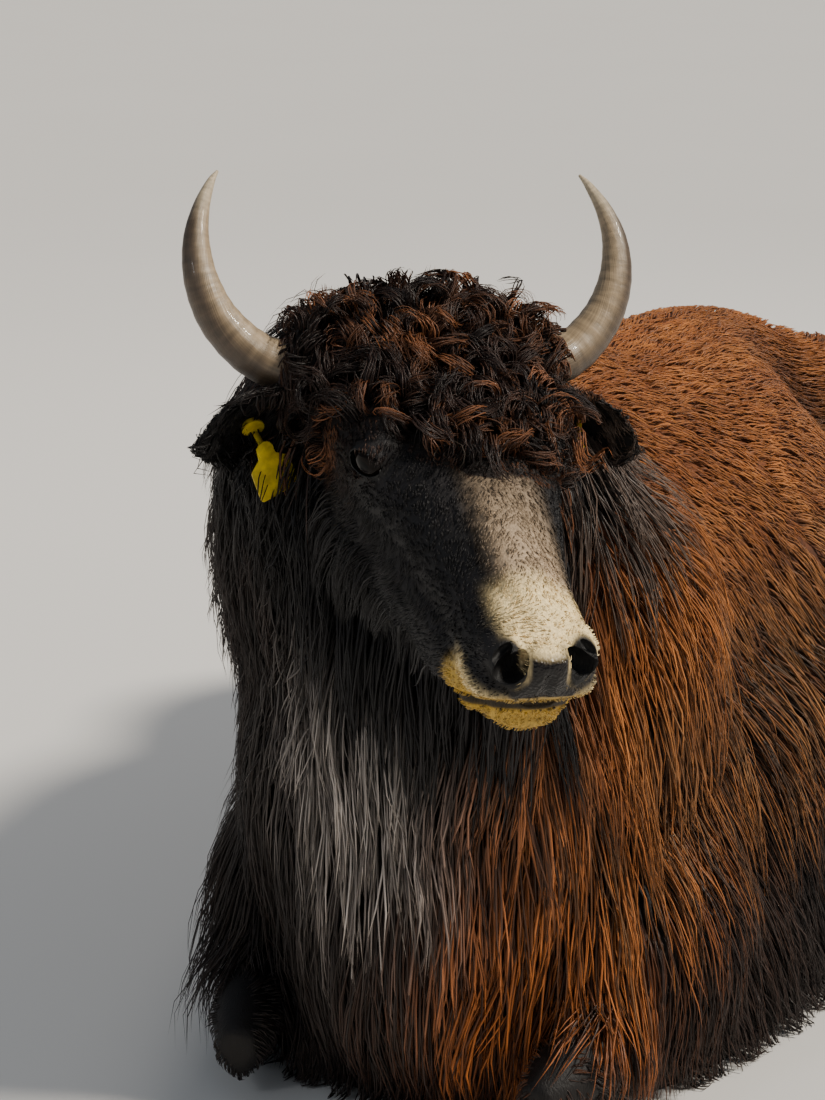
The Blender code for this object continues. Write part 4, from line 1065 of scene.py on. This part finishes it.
def nose_share(points):
    """1 on the bare wet nose: a pad between and below the nostrils, and the nostrils."""
    left, out, along = in_half_head(points)
    width = 0.019 + 0.014 * ramp(-out, 0.045, 0.070)
    middle = ramp(width - left, -0.003, 0.003) * ramp(along, 0.422, 0.430)
    middle = middle * ramp(out, -0.070, -0.065) * ramp(-out, 0.021, 0.027)
    return np.maximum(middle, nostril_share(points))


def lid_share(points):
    """1 on the lids round an eye."""
    q = seen_from_head(points)
    place = (np.column_stack([abs(q[:, 0]), q[:, 1:]]) - EYE_PLACE) / (0.036, 0.018, 0.025)
    return 1 - ramp(np.linalg.norm(place, axis=1), 0.9, 1.15)


# Materials

def material(name, roughness, specular, coat=0.0):
    """A material whose colour comes from the piece's own tint, with its nodes at hand."""
    made = bpy.data.materials.new(name)
    made.use_nodes = True
    nodes, links = made.node_tree.nodes, made.node_tree.links
    shader = nodes["Principled BSDF"]
    shader.inputs["Roughness"].default_value = roughness
    shader.inputs["Specular IOR Level"].default_value = specular
    shader.inputs["Coat Weight"].default_value = coat
    return made, nodes, links, shader


def textured(nodes, links, kind, vector, **values):
    """A texture node fed by a vector socket."""
    node = nodes.new(kind)
    links.new(vector, node.inputs["Vector"])
    for key, value in values.items():
        node.inputs[key].default_value = value
    return node


def stretched(nodes, links, socket, scale, turn=(0, 0, 0)):
    node = nodes.new("ShaderNodeMapping")
    node.inputs["Scale"].default_value = scale
    node.inputs["Rotation"].default_value = turn
    links.new(socket, node.inputs["Vector"])
    return node.outputs["Vector"]


def tinted(nodes, links, shader, factor, low, high):
    """The piece's own tint, darker and lighter by a factor from 0 to 1, as the base colour."""
    scale = nodes.new("ShaderNodeMapRange")
    links.new(factor, scale.inputs["Value"])
    for key, value in zip(("From Min", "From Max", "To Min", "To Max"), (*NOISE_SPAN, low, high)):
        scale.inputs[key].default_value = value
    node = nodes.new("ShaderNodeVectorMath")
    node.operation = "SCALE"
    links.new(tint_of(nodes).outputs["Color"], node.inputs[0])
    links.new(scale.outputs["Result"], node.inputs["Scale"])
    links.new(node.outputs["Vector"], shader.inputs["Base Color"])


def bumped(nodes, links, shader, height, strength, distance):
    bump = nodes.new("ShaderNodeBump")
    bump.inputs["Strength"].default_value = strength
    bump.inputs["Distance"].default_value = distance
    links.new(height, bump.inputs["Height"])
    links.new(bump.outputs["Normal"], shader.inputs["Normal"])


def tint_of(nodes, name="tint"):
    node = nodes.new("ShaderNodeAttribute")
    node.attribute_name = name
    return node


def coat_material():
    made, nodes, links, shader = material("coat", 0.40, 0.34)
    strand = nodes.new("ShaderNodeUVMap")
    strand.uv_map = "Strand"
    lines = textured(nodes, links, "ShaderNodeTexNoise", stretched(nodes, links, strand.outputs["UV"], (5.0, 0.6, 1)),
                     Scale=2.2, Detail=2.0)
    tinted(nodes, links, shader, lines.outputs["Fac"], 0.62, 1.40)
    bumped(nodes, links, shader, lines.outputs["Fac"], 0.5, 0.0015)
    return made


def skin_material():
    """Short hair that lies along the head and body, bare wet skin on the nose."""
    made, nodes, links, shader = material("skin", SKIN_ROUGHNESS[0], 0.30)
    coords = nodes.new("ShaderNodeTexCoord").outputs["Object"]
    turn = HEAD_TURN.inverted().to_euler()
    hair = textured(nodes, links, "ShaderNodeTexNoise", stretched(nodes, links, coords, (1, 1, 0.16), turn),
                    Scale=520.0, Detail=3.0)
    tinted(nodes, links, shader, hair.outputs["Fac"], 0.70, 1.30)
    pores = textured(nodes, links, "ShaderNodeTexVoronoi", coords, Scale=330.0)
    wet = tint_of(nodes, "wet").outputs["Fac"]
    rough_mix = nodes.new("ShaderNodeMapRange")
    links.new(wet, rough_mix.inputs["Value"])
    rough_mix.inputs["To Min"].default_value = SKIN_ROUGHNESS[0]
    rough_mix.inputs["To Max"].default_value = SKIN_ROUGHNESS[1]
    links.new(rough_mix.outputs["Result"], shader.inputs["Roughness"])
    height = nodes.new("ShaderNodeMix")
    links.new(wet, height.inputs["Factor"])
    links.new(hair.outputs["Fac"], height.inputs["A"])
    links.new(pores.outputs["Distance"], height.inputs["B"])
    bumped(nodes, links, shader, height.outputs["Result"], 0.6, 0.0016)
    return made


def horn_material(name, roughness):
    made, nodes, links, shader = material(name, roughness, 0.45, coat=0.08)
    strand = nodes.new("ShaderNodeUVMap")
    strand.uv_map = "Grain"
    grain = textured(nodes, links, "ShaderNodeTexNoise", stretched(nodes, links, strand.outputs["UV"], (26, 2.2, 1)),
                     Scale=3.0, Detail=4.0)
    rings = textured(nodes, links, "ShaderNodeTexNoise", stretched(nodes, links, strand.outputs["UV"], (1.0, 24, 1)),
                     Scale=2.0, Detail=2.0)
    both = nodes.new("ShaderNodeMath")
    both.operation = "ADD"
    links.new(grain.outputs["Fac"], both.inputs[0])
    links.new(rings.outputs["Fac"], both.inputs[1])
    half = nodes.new("ShaderNodeMath")
    half.operation = "MULTIPLY"
    half.inputs[1].default_value = 0.5
    links.new(both.outputs[0], half.inputs[0])
    tinted(nodes, links, shader, half.outputs[0], 0.45, 1.55)
    bumped(nodes, links, shader, both.outputs[0], 0.35, 0.0015)
    return made


def eye_material():
    made, nodes, links, shader = material("eye", 0.05, 0.10)
    coords = nodes.new("ShaderNodeTexCoord").outputs["Object"]
    vary = textured(nodes, links, "ShaderNodeTexNoise", coords, Scale=300.0, Detail=3.0)
    tinted(nodes, links, shader, vary.outputs["Fac"], 0.7, 1.3)
    return made


def tag_material():
    made, nodes, links, shader = material("tag", 0.42, 0.4)
    coords = nodes.new("ShaderNodeTexCoord").outputs["Object"]
    dirt = textured(nodes, links, "ShaderNodeTexNoise", coords, Scale=90.0, Detail=5.0)
    tinted(nodes, links, shader, dirt.outputs["Fac"], 0.62, 1.15)
    shader.inputs["Subsurface Weight"].default_value = 0.08
    shader.inputs["Subsurface Scale"].default_value = 0.01
    bumped(nodes, links, shader, dirt.outputs["Fac"], 0.2, 0.0006)
    return made


# Hard parts

def tube_piece(name, rows, sides, across):
    """A fine tube through rows, with a map that runs round and along it."""
    obj = object_of(name, limb(rows, sides, 1, across))
    mesh = obj.data
    rings = len(rows)
    index = np.empty(len(mesh.loops), np.int32)
    mesh.loops.foreach_get("vertex_index", index)
    ring, spoke = np.minimum(index // sides, rings - 1), index % sides
    angle = spoke / sides * 2 * math.pi
    mapped(mesh, "Grain", np.column_stack([np.cos(angle) * 0.5 + np.sin(angle * 2) * 0.2, ring / rings]))
    mesh.shade_smooth()
    return obj


def horn(side):
    rows = spline(HORN_LINE, 9)
    rows[:, 0] *= side
    rows[:, 3:] *= (1 + 0.022 * np.sin(np.arange(len(rows)) * 1.9) * np.linspace(1, 0, len(rows)))[:, None]
    line = np.column_stack([[tuple(on_head(*row[:3])) for row in rows], rows[:, 3:]])
    obj = tube_piece("horn_" + SIDES[side] + "_fine", line, 28, IN_HEAD.col[2][:3])
    points, normals, _ = arrays(obj)
    q = seen_from_head(points)
    share = np.clip(q[:, 1] / 0.11 + 0.5, 0, 1)
    facing = (normals @ HEAD_AXES)[:, 0] * side
    # each horn darker on its outer side: painted shade
    outer_shade = ramp(facing, -0.25, 0.55)
    tint = mixed(evenly(HORN_TINT[0], points), HORN_TINT[1], outer_shade * 0.9)
    tint = mixed(tint, HORN_TINT[2], ramp(q[:, 1], 0.045, 0.068) * 0.8)
    tint = mixed(tint, HORN_TINT[3], (1 - ramp(share, 0.0, 0.22)) * 0.6)
    painted(obj.data, "tint", tint)
    return obj


def eye(side):
    """An eyeball with a bulging cornea, a dark brown iris and a level pupil."""
    centre, turn = eye_frame(side)
    obj = object_of("eye_" + SIDES[side] + "_fine", ball(centre, (EYE_RADIUS * EYE_FULLNESS,) * 3, rings=48))
    points, normals, _ = arrays(obj)
    local = (points - np.array(centre)) @ np.array(turn) / EYE_RADIUS
    facing = local[:, 0] * side
    bulge = ramp(facing, 0.78, 0.95)
    placed(obj, points + normals * (bulge * CORNEA_HEIGHT)[:, None])
    tint = mixed(evenly(EYE_TINT[0], points), EYE_TINT[1], ramp(facing, 0.68, 0.76))
    pupil = ramp(-((local[:, 1] / 0.17) ** 2 + (local[:, 2] / 0.34) ** 2), -1.15, -0.85) * (facing > 0)
    tint = mixed(tint, EYE_TINT[2], pupil)
    painted(obj.data, "tint", tint)
    obj.data.shade_smooth()
    return obj


def hoof(side):
    """Two toes with a groove between them and fine growth rings."""
    back, front = (Vector((side * x, y, 0)) for x, y, *_ in HIND_CANNON[-2:])
    ahead = (front - back).normalized()
    across = ahead.cross(Vector((0, 0, 1)))
    toes = []
    for toe in (-1, 1):
        rows = spline(HOOF_STATIONS, 6)
        centres = np.array([front + ahead * along + across * (toe * apart) + Vector((0, 0, HOOF_HEIGHT))
                            for along, apart in rows[:, [0, 4]]])
        ripple = 1 + 0.03 * np.sin(np.arange(len(rows)) * 1.6)
        sizes = np.column_stack([rows[:, 1] * ripple, rows[:, 2], rows[:, 3], 0.18 + 0 * rows[:, 0]])
        toes.append(object_of("hoof_" + SIDES[side] + "_fine", loft(sections(centres, across, across, sizes, 24, 2.6))))
    combined(toes[0], toes[1], "UNION")
    obj = toes[0]
    points, _, _ = arrays(obj)
    points[:, 2] = np.maximum(points[:, 2], SOLE_CLEARANCE)
    placed(obj, points)
    painted(obj.data, "tint", mixed(evenly(HOOF_TINT[0], points), HOOF_TINT[1], ramp(points[:, 2], 0.0, 0.05)))
    places = np.column_stack([points[:, 0] * 20, points[:, 1] * 20])
    index = np.empty(len(obj.data.loops), np.int32)
    obj.data.loops.foreach_get("vertex_index", index)
    mapped(obj.data, "Grain", places[index])
    obj.data.shade_smooth()
    return obj


def tag_pieces(side):
    """The flag with its stud and the button on the back of the ear, with rounded edges."""
    station, inwards, lower, stand, swing, wide, high = TAGS[side]
    centre, along, _, front, half, thick = (line[station] for line in ear_lines(side))
    through = Vector(front)
    facing = (through - DOWN * DOWN.dot(through)).normalized()
    down = Matrix.Rotation(swing, 3, facing) @ DOWN
    depth = EAR_CUP * half * (1 - (lower / half) ** 2)
    centre = Vector(centre) - Vector(along) * inwards + (DOWN - through * DOWN.dot(through)) * lower
    place = centre + through * stand
    name = "ear_tag_" + SIDES[side]
    outline = [(u * wide, v * high) for u, v in rounded(TAG_OUTLINE, 0.10)]
    flag = object_of(name + "_fine", plate(outline, place, down.cross(facing), down, TAG_THICKNESS))
    length = depth + stand - STUD_SHORT
    combined(flag, disc(place - through * (0.5 * length), through, STUD_RADIUS, length + TAG_THICKNESS), "UNION")
    combined(flag, disc(place + facing * 0.0016, facing, 0.2 * wide, 0.0026), "UNION")
    back = centre - through * (depth + 0.5 * (thick + BUTTON_HEIGHT) - BUTTON_SINK)
    button = disc(back, through, BUTTON_RADIUS, BUTTON_HEIGHT)
    button.name = name + "_button_fine"
    for obj in (flag, button):
        bevel = obj.modifiers.new("round", "BEVEL")
        bevel.width = 0.0005
        bevel.segments = 2
        applied(obj)
        painted(obj.data, "tint", evenly(TAG_TINT, obj.data.vertices))
        obj.data.shade_smooth()
        obj.data.set_sharp_from_angle(angle=math.radians(35))
    return flag, button


def rounded(outline, share):
    """The outline with each corner taken off in a short curve."""
    points = np.array(outline, float)
    found = []
    for before, corner, after in zip(np.roll(points, 1, 0), points, np.roll(points, -1, 0)):
        for t in (0, 0.33, 0.67, 1):
            one, two = corner + (before - corner) * share, corner + (after - corner) * share
            found.append(tuple(one * (1 - t) ** 2 + corner * 2 * t * (1 - t) + two * t * t))
    return found


def disc(middle, axis, radius, height):
    place = Matrix.Translation(middle) @ axis.to_track_quat("Z", "Y").to_matrix().to_4x4()
    bm = bmesh.new()
    bmesh.ops.create_cone(bm, cap_ends=True, segments=28, radius1=radius, radius2=radius, depth=height, matrix=place)
    return object_of("disc", bm)


# Coat

def long_share(points):
    """1 where the hair is long: skirt, chest, throat and sides of the neck; 0 on the back and barrel."""
    _, y, z = points.T
    skirt = ramp(-z, -0.46, -0.36)
    neck = ramp(-y, 0.30, 0.40) * (1 - ramp(z, 0.80, 0.86) * ramp(y, -0.52, -0.46))
    return np.maximum(skirt, neck)


def ruff_share(points):
    """1 on the right side of the neck and chest, where the hair is fluffiest."""
    x, y, z = points.T
    return ramp(-y, 0.36, 0.46) * ramp(-x, 0.04, 0.12) * ramp(z, 0.34, 0.46) * (1 - ramp(z, 0.74, 0.84))


def body_way(roots, normals):
    """Backwards on the back, down the sides, straight down on the chest."""
    back = np.clip(0.30 + 0.9 * ramp(normals[:, 2], 0.1, 0.8), 0, 1.2) * ramp(roots[:, 1], -0.52, -0.30)
    return np.column_stack([0 * back, back, np.full(len(back), -0.75)])


def face_way(roots, normals):
    """Down the face to the muzzle, and down and back over the cheeks."""
    q = seen_from_head(roots)
    cheek = ramp(-q[:, 1], 0.05, 0.11)
    local = np.column_stack([np.sign(q[:, 0]) * 0.35 * (1 - cheek), -0.45 * cheek, 1 - 1.35 * cheek])
    backwards = np.column_stack([np.sign(q[:, 0]) * 0.6, -0.5 + 0 * cheek, -0.7 + 0 * cheek])
    local = mixed(local, backwards, ramp(q[:, 2], 0.36, 0.42))
    return local @ HEAD_AXES.T


def ear_way(roots, normals):
    q = seen_from_head(roots)
    local = np.column_stack([np.sign(q[:, 0]), -0.25 + 0 * q[:, 0], 0.1 + 0 * q[:, 0]])
    return local @ HEAD_AXES.T


def tail_way(roots, normals):
    line = spline(TAIL, 6)[:, :3]
    along = unit(np.gradient(line, axis=0))
    index = np.linalg.norm(roots[:, None] - line[None], axis=2).argmin(1)
    return along[index]


def bare_share(points):
    """1 where no hair grows on the head: nose, nostrils, lid rims and mouth line."""
    return np.maximum(nose_share(points), np.maximum(lid_share(points), ramp(-mouth_distance(points), -0.004, -0.002)))


def seen_share(points):
    """Share of the tufts by place: fewer and wider ones on the rear and right side."""
    x, y, _ = points.T
    front = np.maximum(ramp(-y, 0.28, 0.42), ramp(x, -0.06, 0.04) * ramp(-y, -0.62, -0.45))
    return 0.42 + 0.58 * front


def ear_share(points):
    """1 on the ears."""
    left, out, along = in_half_head(points)
    found = ramp(left, 0.112, 0.124) * ramp(-left, -0.262, -0.250) * ramp(-out, 0.048, 0.062)
    return found * ramp(out, -0.185, -0.170) * ramp(along, -0.030, -0.015) * ramp(-along, -0.125, -0.110)


def forelock_share(points):
    """1 on the forehead, down to between the eyes and up to the poll."""
    across = seen_from_head(points)[:, 0]
    left, out, along = in_half_head(points)
    lower = 0.228 - 8.0 * (across - 0.018) ** 2 + 0.03 * (rough(points, 70) - 0.5)
    found = ramp(lower - along, 0.0, 0.04) * ramp(out, -0.110, -0.075) * ramp(along, -0.075, -0.045)
    return found * ramp(-left, -0.132, -0.118)


def nape_share(points):
    """1 behind the forelock and round the roots of the horns."""
    left, _, along = in_half_head(points)
    back = ramp(-along, -0.02, 0.02) * ramp(along, -0.13, -0.11)
    found = np.maximum(back, ramp(left, 0.10, 0.115) * ramp(-along, -0.06, -0.04))
    return found * (1 - forelock_share(points)) * (1 - ear_share(points))


def grow_coat(name, source, weight, density, lengths, widths, stations, way, skin, unwrap, draw, parts, grow, follow,
              make=grown, mottle=0.10):
    """One kind of hair, as that many pieces: guides first, then every tuft along its nearest guide."""
    guide_roots, guide_normals = scattered(source, density[0], draw, weight, skin, whole=True)
    if make is grown:
        guides = grown(guide_roots, guide_normals, way(guide_roots, guide_normals), lengths(guide_roots, draw), skin,
                       draw, **grow)
    else:
        guides = curled(guide_roots, guide_normals, lengths(guide_roots, draw), skin, draw, **grow)
    roots, normals = scattered(source, density[1], draw, weight, skin)
    lines, ways, own = spread(guides, roots, normals, draw, stations, **follow)
    size = draw.uniform(*widths, len(roots)) / (seen_share(roots) ** 0.7 if source.name == "body" else 1)
    base, tips = markings(roots)
    tone = np.exp(draw.normal(0, mottle, len(guide_roots)))[own] * np.exp(draw.normal(0, 0.12, len(roots)))
    tints = base * tone[:, None], tips * tone[:, None]
    places = bake_places(roots, unwrap)
    order = np.array_split(np.argsort(roots @ np.array([1.0, 0.3, 0.1])), parts)
    for i, chosen in enumerate(order):
        obj = hair_piece(f"{name}_{i + 1}" if parts > 1 else name, lines[chosen], ways[chosen], size[chosen],
                         (tints[0][chosen], tints[1][chosen]), places[chosen])
        yield obj


def between(low, high, power=1.0):
    return lambda roots, draw: low + (high - low) * draw.random(len(roots)) ** power


def long_lengths(roots, draw):
    """Longest on the skirt's lower half and chest, shorter up the neck."""
    _, y, z = roots.T
    length = 0.17 + 0.08 * ramp(-y, 0.35, 0.5) * ramp(-z, -0.75, -0.5) + 0.05 * ramp(-z, -0.40, -0.2)
    length = np.where(z > 0.72, length * 0.8, length)
    return np.minimum(length * draw.uniform(0.8, 1.15, len(roots)), np.maximum(z * 1.1, 0.05))


def short_lengths(roots, draw):
    return (0.042 + 0.025 * ramp(-roots[:, 2], -0.62, -0.45)) * draw.uniform(0.8, 1.2, len(roots))


def face_lengths(roots, draw):
    """Shortest on the muzzle, longer over the cheeks and jaw."""
    q = seen_from_head(roots)
    cheek = np.maximum(ramp(-q[:, 1], 0.065, 0.125), ramp(-q[:, 2], -0.10, -0.02))
    length = 0.012 - 0.006 * ramp(q[:, 2], 0.28, 0.40) + 0.030 * cheek * ramp(-q[:, 2], -0.38, -0.24)
    return length * draw.uniform(0.8, 1.2, len(roots))


def ear_lengths(roots, draw):
    """Longest at the edges and the tip."""
    q = seen_from_head(roots)
    edge = ramp(abs(q[:, 1] + 0.105), 0.010, 0.040)
    return (0.016 + 0.034 * np.maximum(edge, ramp(abs(q[:, 0]), 0.19, 0.22))) * draw.uniform(0.6, 1.4, len(roots))


def coats(body, head, legs, tail, skin, unwrap):
    """Every piece of hair."""
    draw = np.random.default_rng(5)
    common = (skin, unwrap, draw)
    yield from grow_coat(
        "coat_body", body, lambda p: (1 - long_share(p)) * seen_share(p), (1200, 22500), short_lengths,
        (0.0019, 0.0034), 4, body_way, *common, 3, dict(lift=0.12, stand=(0.002, 0.007), hang=0.05, bend=0.10),
        dict(clump=0.22, wave=0.0025, turns=0.7, lay=0.003))
    yield from grow_coat(
        "coat_long", body, lambda p: long_share(p) * seen_share(p), (700, 12500), long_lengths, (0.0018, 0.0038), 6,
        body_way, *common, 3, dict(lift=0.45, stand=(0.004, 0.030), hang=0.16, bend=0.10, hug=0.3),
        dict(clump=0.42, wave=0.005, turns=0.9, lay=0.010, vary=0.40))
    yield from grow_coat(
        "coat_ruff", body, ruff_share, (500, 8000), between(0.08, 0.16), (0.0018, 0.0034), 6, body_way,
        *common, 1, dict(lift=0.5, stand=(0.008, 0.030), hang=0.30, bend=0.14, hug=0.12),
        dict(clump=0.45, wave=0.006, turns=0.9, lay=0.012, vary=0.5))
    yield from grow_coat(
        "coat_face", head,
        lambda p: (1 - bare_share(p)) * (1 - ear_share(p)) * (1 - forelock_share(p) * 0.8) * visible_head(p),
        (7000, 90000), face_lengths, (0.0010, 0.0018), 3, face_way,
        *common, 1, dict(lift=0.20, stand=(0.0003, 0.0022), hang=0.02, bend=0.10, steps=4),
        dict(clump=0.25, vary=0.3, lay=0.001))
    yield from grow_coat(
        "coat_forelock", head, forelock_share, (5600, 68000), between(0.055, 0.120), (0.0012, 0.0020), 12, None,
        *common, 2, dict(radius=0.0125, rise=0.36),
        dict(clump=0.30, wave=0.0030, turns=1.3, vary=0.35, lay=0.003, blend=1), make=curled, mottle=0.42)
    yield from grow_coat(
        "coat_nape", head, nape_share, (1800, 30000), between(0.040, 0.060), (0.0022, 0.0036), 4, body_way,
        *common, 1, dict(lift=0.25, stand=(0.002, 0.008), hang=0.02, bend=0.15),
        dict(clump=0.4, wave=0.002, turns=0.7, lay=0.004))
    yield from grow_coat(
        "coat_ears", head, ear_share, (9000, 50000), ear_lengths, (0.0010, 0.0018), 5, ear_way,
        *common, 1, dict(lift=0.30, stand=(0.0008, 0.004), hang=0.06, bend=0.2, hug=0.15),
        dict(clump=0.4, wave=0.001, lay=0.002))
    yield from grow_coat(
        "coat_beard", head, beard_share, (3000, 24000), between(0.035, 0.085), (0.0014, 0.0026), 6, face_way,
        *common, 1, dict(lift=0.6, stand=(0.001, 0.02), hang=0.35, bend=0.15, hug=0.0),
        dict(clump=0.5, wave=0.002, lay=0.004))
    yield from grow_coat(
        "coat_tail", tail, lambda p: 0.15 + ramp(-p[:, 2], -0.5, -0.35), (2200, 15000), between(0.12, 0.24),
        (0.0028, 0.0050), 7, tail_way, *common, 1, dict(lift=0.25, stand=(0.003, 0.018), hang=0.08, bend=0.12),
        dict(clump=0.6, wave=0.003, lay=0.006))
    yield from grow_coat(
        "coat_legs", legs, lambda p: np.ones(len(p)), (3000, 26000), between(0.024, 0.046), (0.0018, 0.0030), 3,
        lambda roots, normals: np.tile([0.0, 0.4, -0.6], (len(roots), 1)), *common, 1,
        dict(lift=0.25, stand=(0.001, 0.004), hang=0.02, bend=0.15, steps=4), dict(clump=0.4, lay=0.001))


def visible_head(points):
    return ramp(seen_from_head(points)[:, 2], -0.05, -0.02)


def beard_share(points):
    """1 on the lower cheeks, the jaw and the throat."""
    q = seen_from_head(points)
    low = 0.105 + 0.03 * ramp(q[:, 2], 0.15, 0.30)
    return ramp(-q[:, 1] - low, 0.0, 0.03) * ramp(-q[:, 2], -0.34, -0.26) * ramp(q[:, 2], -0.06, 0.0)


# Studio

def area_light(name, place, target, size, power, tint, mirrored_too):
    data = bpy.data.lights.new(name, "AREA")
    data.shape = "DISK"
    data.size = size
    data.energy = power
    data.color = tint
    lamp = bpy.data.objects.new(name, data)
    bpy.context.scene.collection.objects.link(lamp)
    lamp.location = place
    lamp.rotation_mode = "QUATERNION"
    lamp.rotation_quaternion = (Vector(target) - Vector(place)).to_track_quat("-Z", "Y")
    lamp.visible_glossy = mirrored_too


def studio():
    bm = bmesh.new()
    bmesh.ops.create_grid(bm, x_segments=1, y_segments=1, size=FLOOR_HALF)
    floor = object_of("floor", bm)
    made = bpy.data.materials.new("floor")
    made.use_nodes = True
    nodes, links = made.node_tree.nodes, made.node_tree.links
    shader = nodes["Principled BSDF"]
    coords = nodes.new("ShaderNodeTexCoord").outputs["Object"]
    noise = textured(nodes, links, "ShaderNodeTexNoise", coords, Scale=1.5, Detail=1.0)
    ramp_node = nodes.new("ShaderNodeValToRGB")
    ramp_node.color_ramp.elements[0].color = (*FLOOR_TINT, 1)
    ramp_node.color_ramp.elements[1].color = (*(np.array(FLOOR_TINT) * 1.03), 1)
    links.new(noise.outputs["Fac"], ramp_node.inputs["Fac"])
    links.new(ramp_node.outputs["Color"], shader.inputs["Base Color"])
    shader.inputs["Roughness"].default_value = 0.85
    floor.data.materials.append(made)
    world = bpy.data.worlds.new("studio")
    world.use_nodes = True
    world.node_tree.nodes["Background"].inputs["Color"].default_value = (*SKY_TINT, 1)
    world.node_tree.nodes["Background"].inputs["Strength"].default_value = SKY_POWER
    bpy.context.scene.world = world
    for row in LAMPS:
        area_light(*row)
    data = bpy.data.lights.new("key", "SUN")
    data.energy = KEY_POWER
    data.angle = KEY_SPREAD
    data.color = KEY_TINT
    lamp = bpy.data.objects.new("key", data)
    bpy.context.scene.collection.objects.link(lamp)
    lamp.rotation_mode = "QUATERNION"
    lamp.rotation_quaternion = Vector(KEY_FROM).to_track_quat("Z", "Y")


def camera():
    back = Vector((math.sin(CAMERA_TURN) * math.cos(CAMERA_RISE), -math.cos(CAMERA_TURN) * math.cos(CAMERA_RISE),
                   math.sin(CAMERA_RISE)))
    right = Vector((math.cos(CAMERA_TURN), math.sin(CAMERA_TURN), 0))
    up = back.cross(right)
    data = bpy.data.cameras.new("camera")
    data.sensor_width = 36
    data.sensor_fit = "AUTO"
    data.lens = PIXELS_PER_METRE * CAMERA_DISTANCE * 36 / PICTURE_HEIGHT
    data.clip_start = 0.05
    obj = bpy.data.objects.new("camera", data)
    bpy.context.scene.collection.objects.link(obj)
    target = POLL - right * (POLL_IN_PICTURE[0] / PIXELS_PER_METRE) + up * (POLL_IN_PICTURE[1] / PIXELS_PER_METRE)
    obj.location = target + back * CAMERA_DISTANCE
    obj.rotation_mode = "QUATERNION"
    obj.rotation_quaternion = (-back).to_track_quat("-Z", "Y")
    bpy.context.scene.camera = obj


def shown(obj, made, slot, *nodes):
    """The piece with its material, on the frame, in place of those nodes."""
    obj.data.materials.clear()
    obj.data.materials.append(made)
    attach(obj, "root")
    if nodes:
        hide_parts(*nodes)


def main():
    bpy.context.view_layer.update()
    body, head, legs, tail = body_skin(), head_skin(), leg_skin(), tail_skin()
    skin = copied(body, "skin")
    for part in (head, legs, tail):
        combined(skin, copied(part, "part"), "UNION")
    skin.data.shade_smooth()
    points, _, _ = arrays(skin)
    points[:, 2] = np.maximum(points[:, 2], FLOOR_CLEARANCE * 0.5)
    placed(skin, points)
    # the skin in the roots' darker colour: partly the coat's own colour, partly painted shade in the gaps between the
    # tufts
    painted(skin.data, "tint", markings(points)[0])
    wet = np.maximum(nose_share(points) * (1 - nostril_share(points)), lid_share(points) * 0.6)
    painted(skin.data, "wet", np.tile(wet[:, None], (1, 3)))
    tree = tree_of(skin)
    unwrap = unwrapped(skin)
    coat, bare = coat_material(), skin_material()
    shown(skin, bare, "coat", "torso", "neck", "head", "tail",
          *(part + SIDES[side] for part in ("foreleg_", "hindleg_", "ear_") for side in SIDES))
    for obj in coats(body, head, legs, tail, tree, unwrap):
        shown(obj, coat, "coat")
    for part in (body, head, legs, tail):
        bpy.data.objects.remove(part)
    horns, hooves = horn_material("horn", 0.42), horn_material("hoof", 0.55)
    wet, plastic = eye_material(), tag_material()
    for side, word in SIDES.items():
        shown(horn(side), horns, "horn", "horn_" + word)
        shown(hoof(side), hooves, "horn", "hoof_" + word)
        shown(eye(side), wet, "eye", "eye_" + word)
        flag, button = tag_pieces(side)
        shown(flag, plastic, "tag", "ear_tag_" + word)
        shown(button, plastic, "tag", "ear_tag_" + word + "_button")
    studio()
    camera()
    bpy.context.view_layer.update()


main()
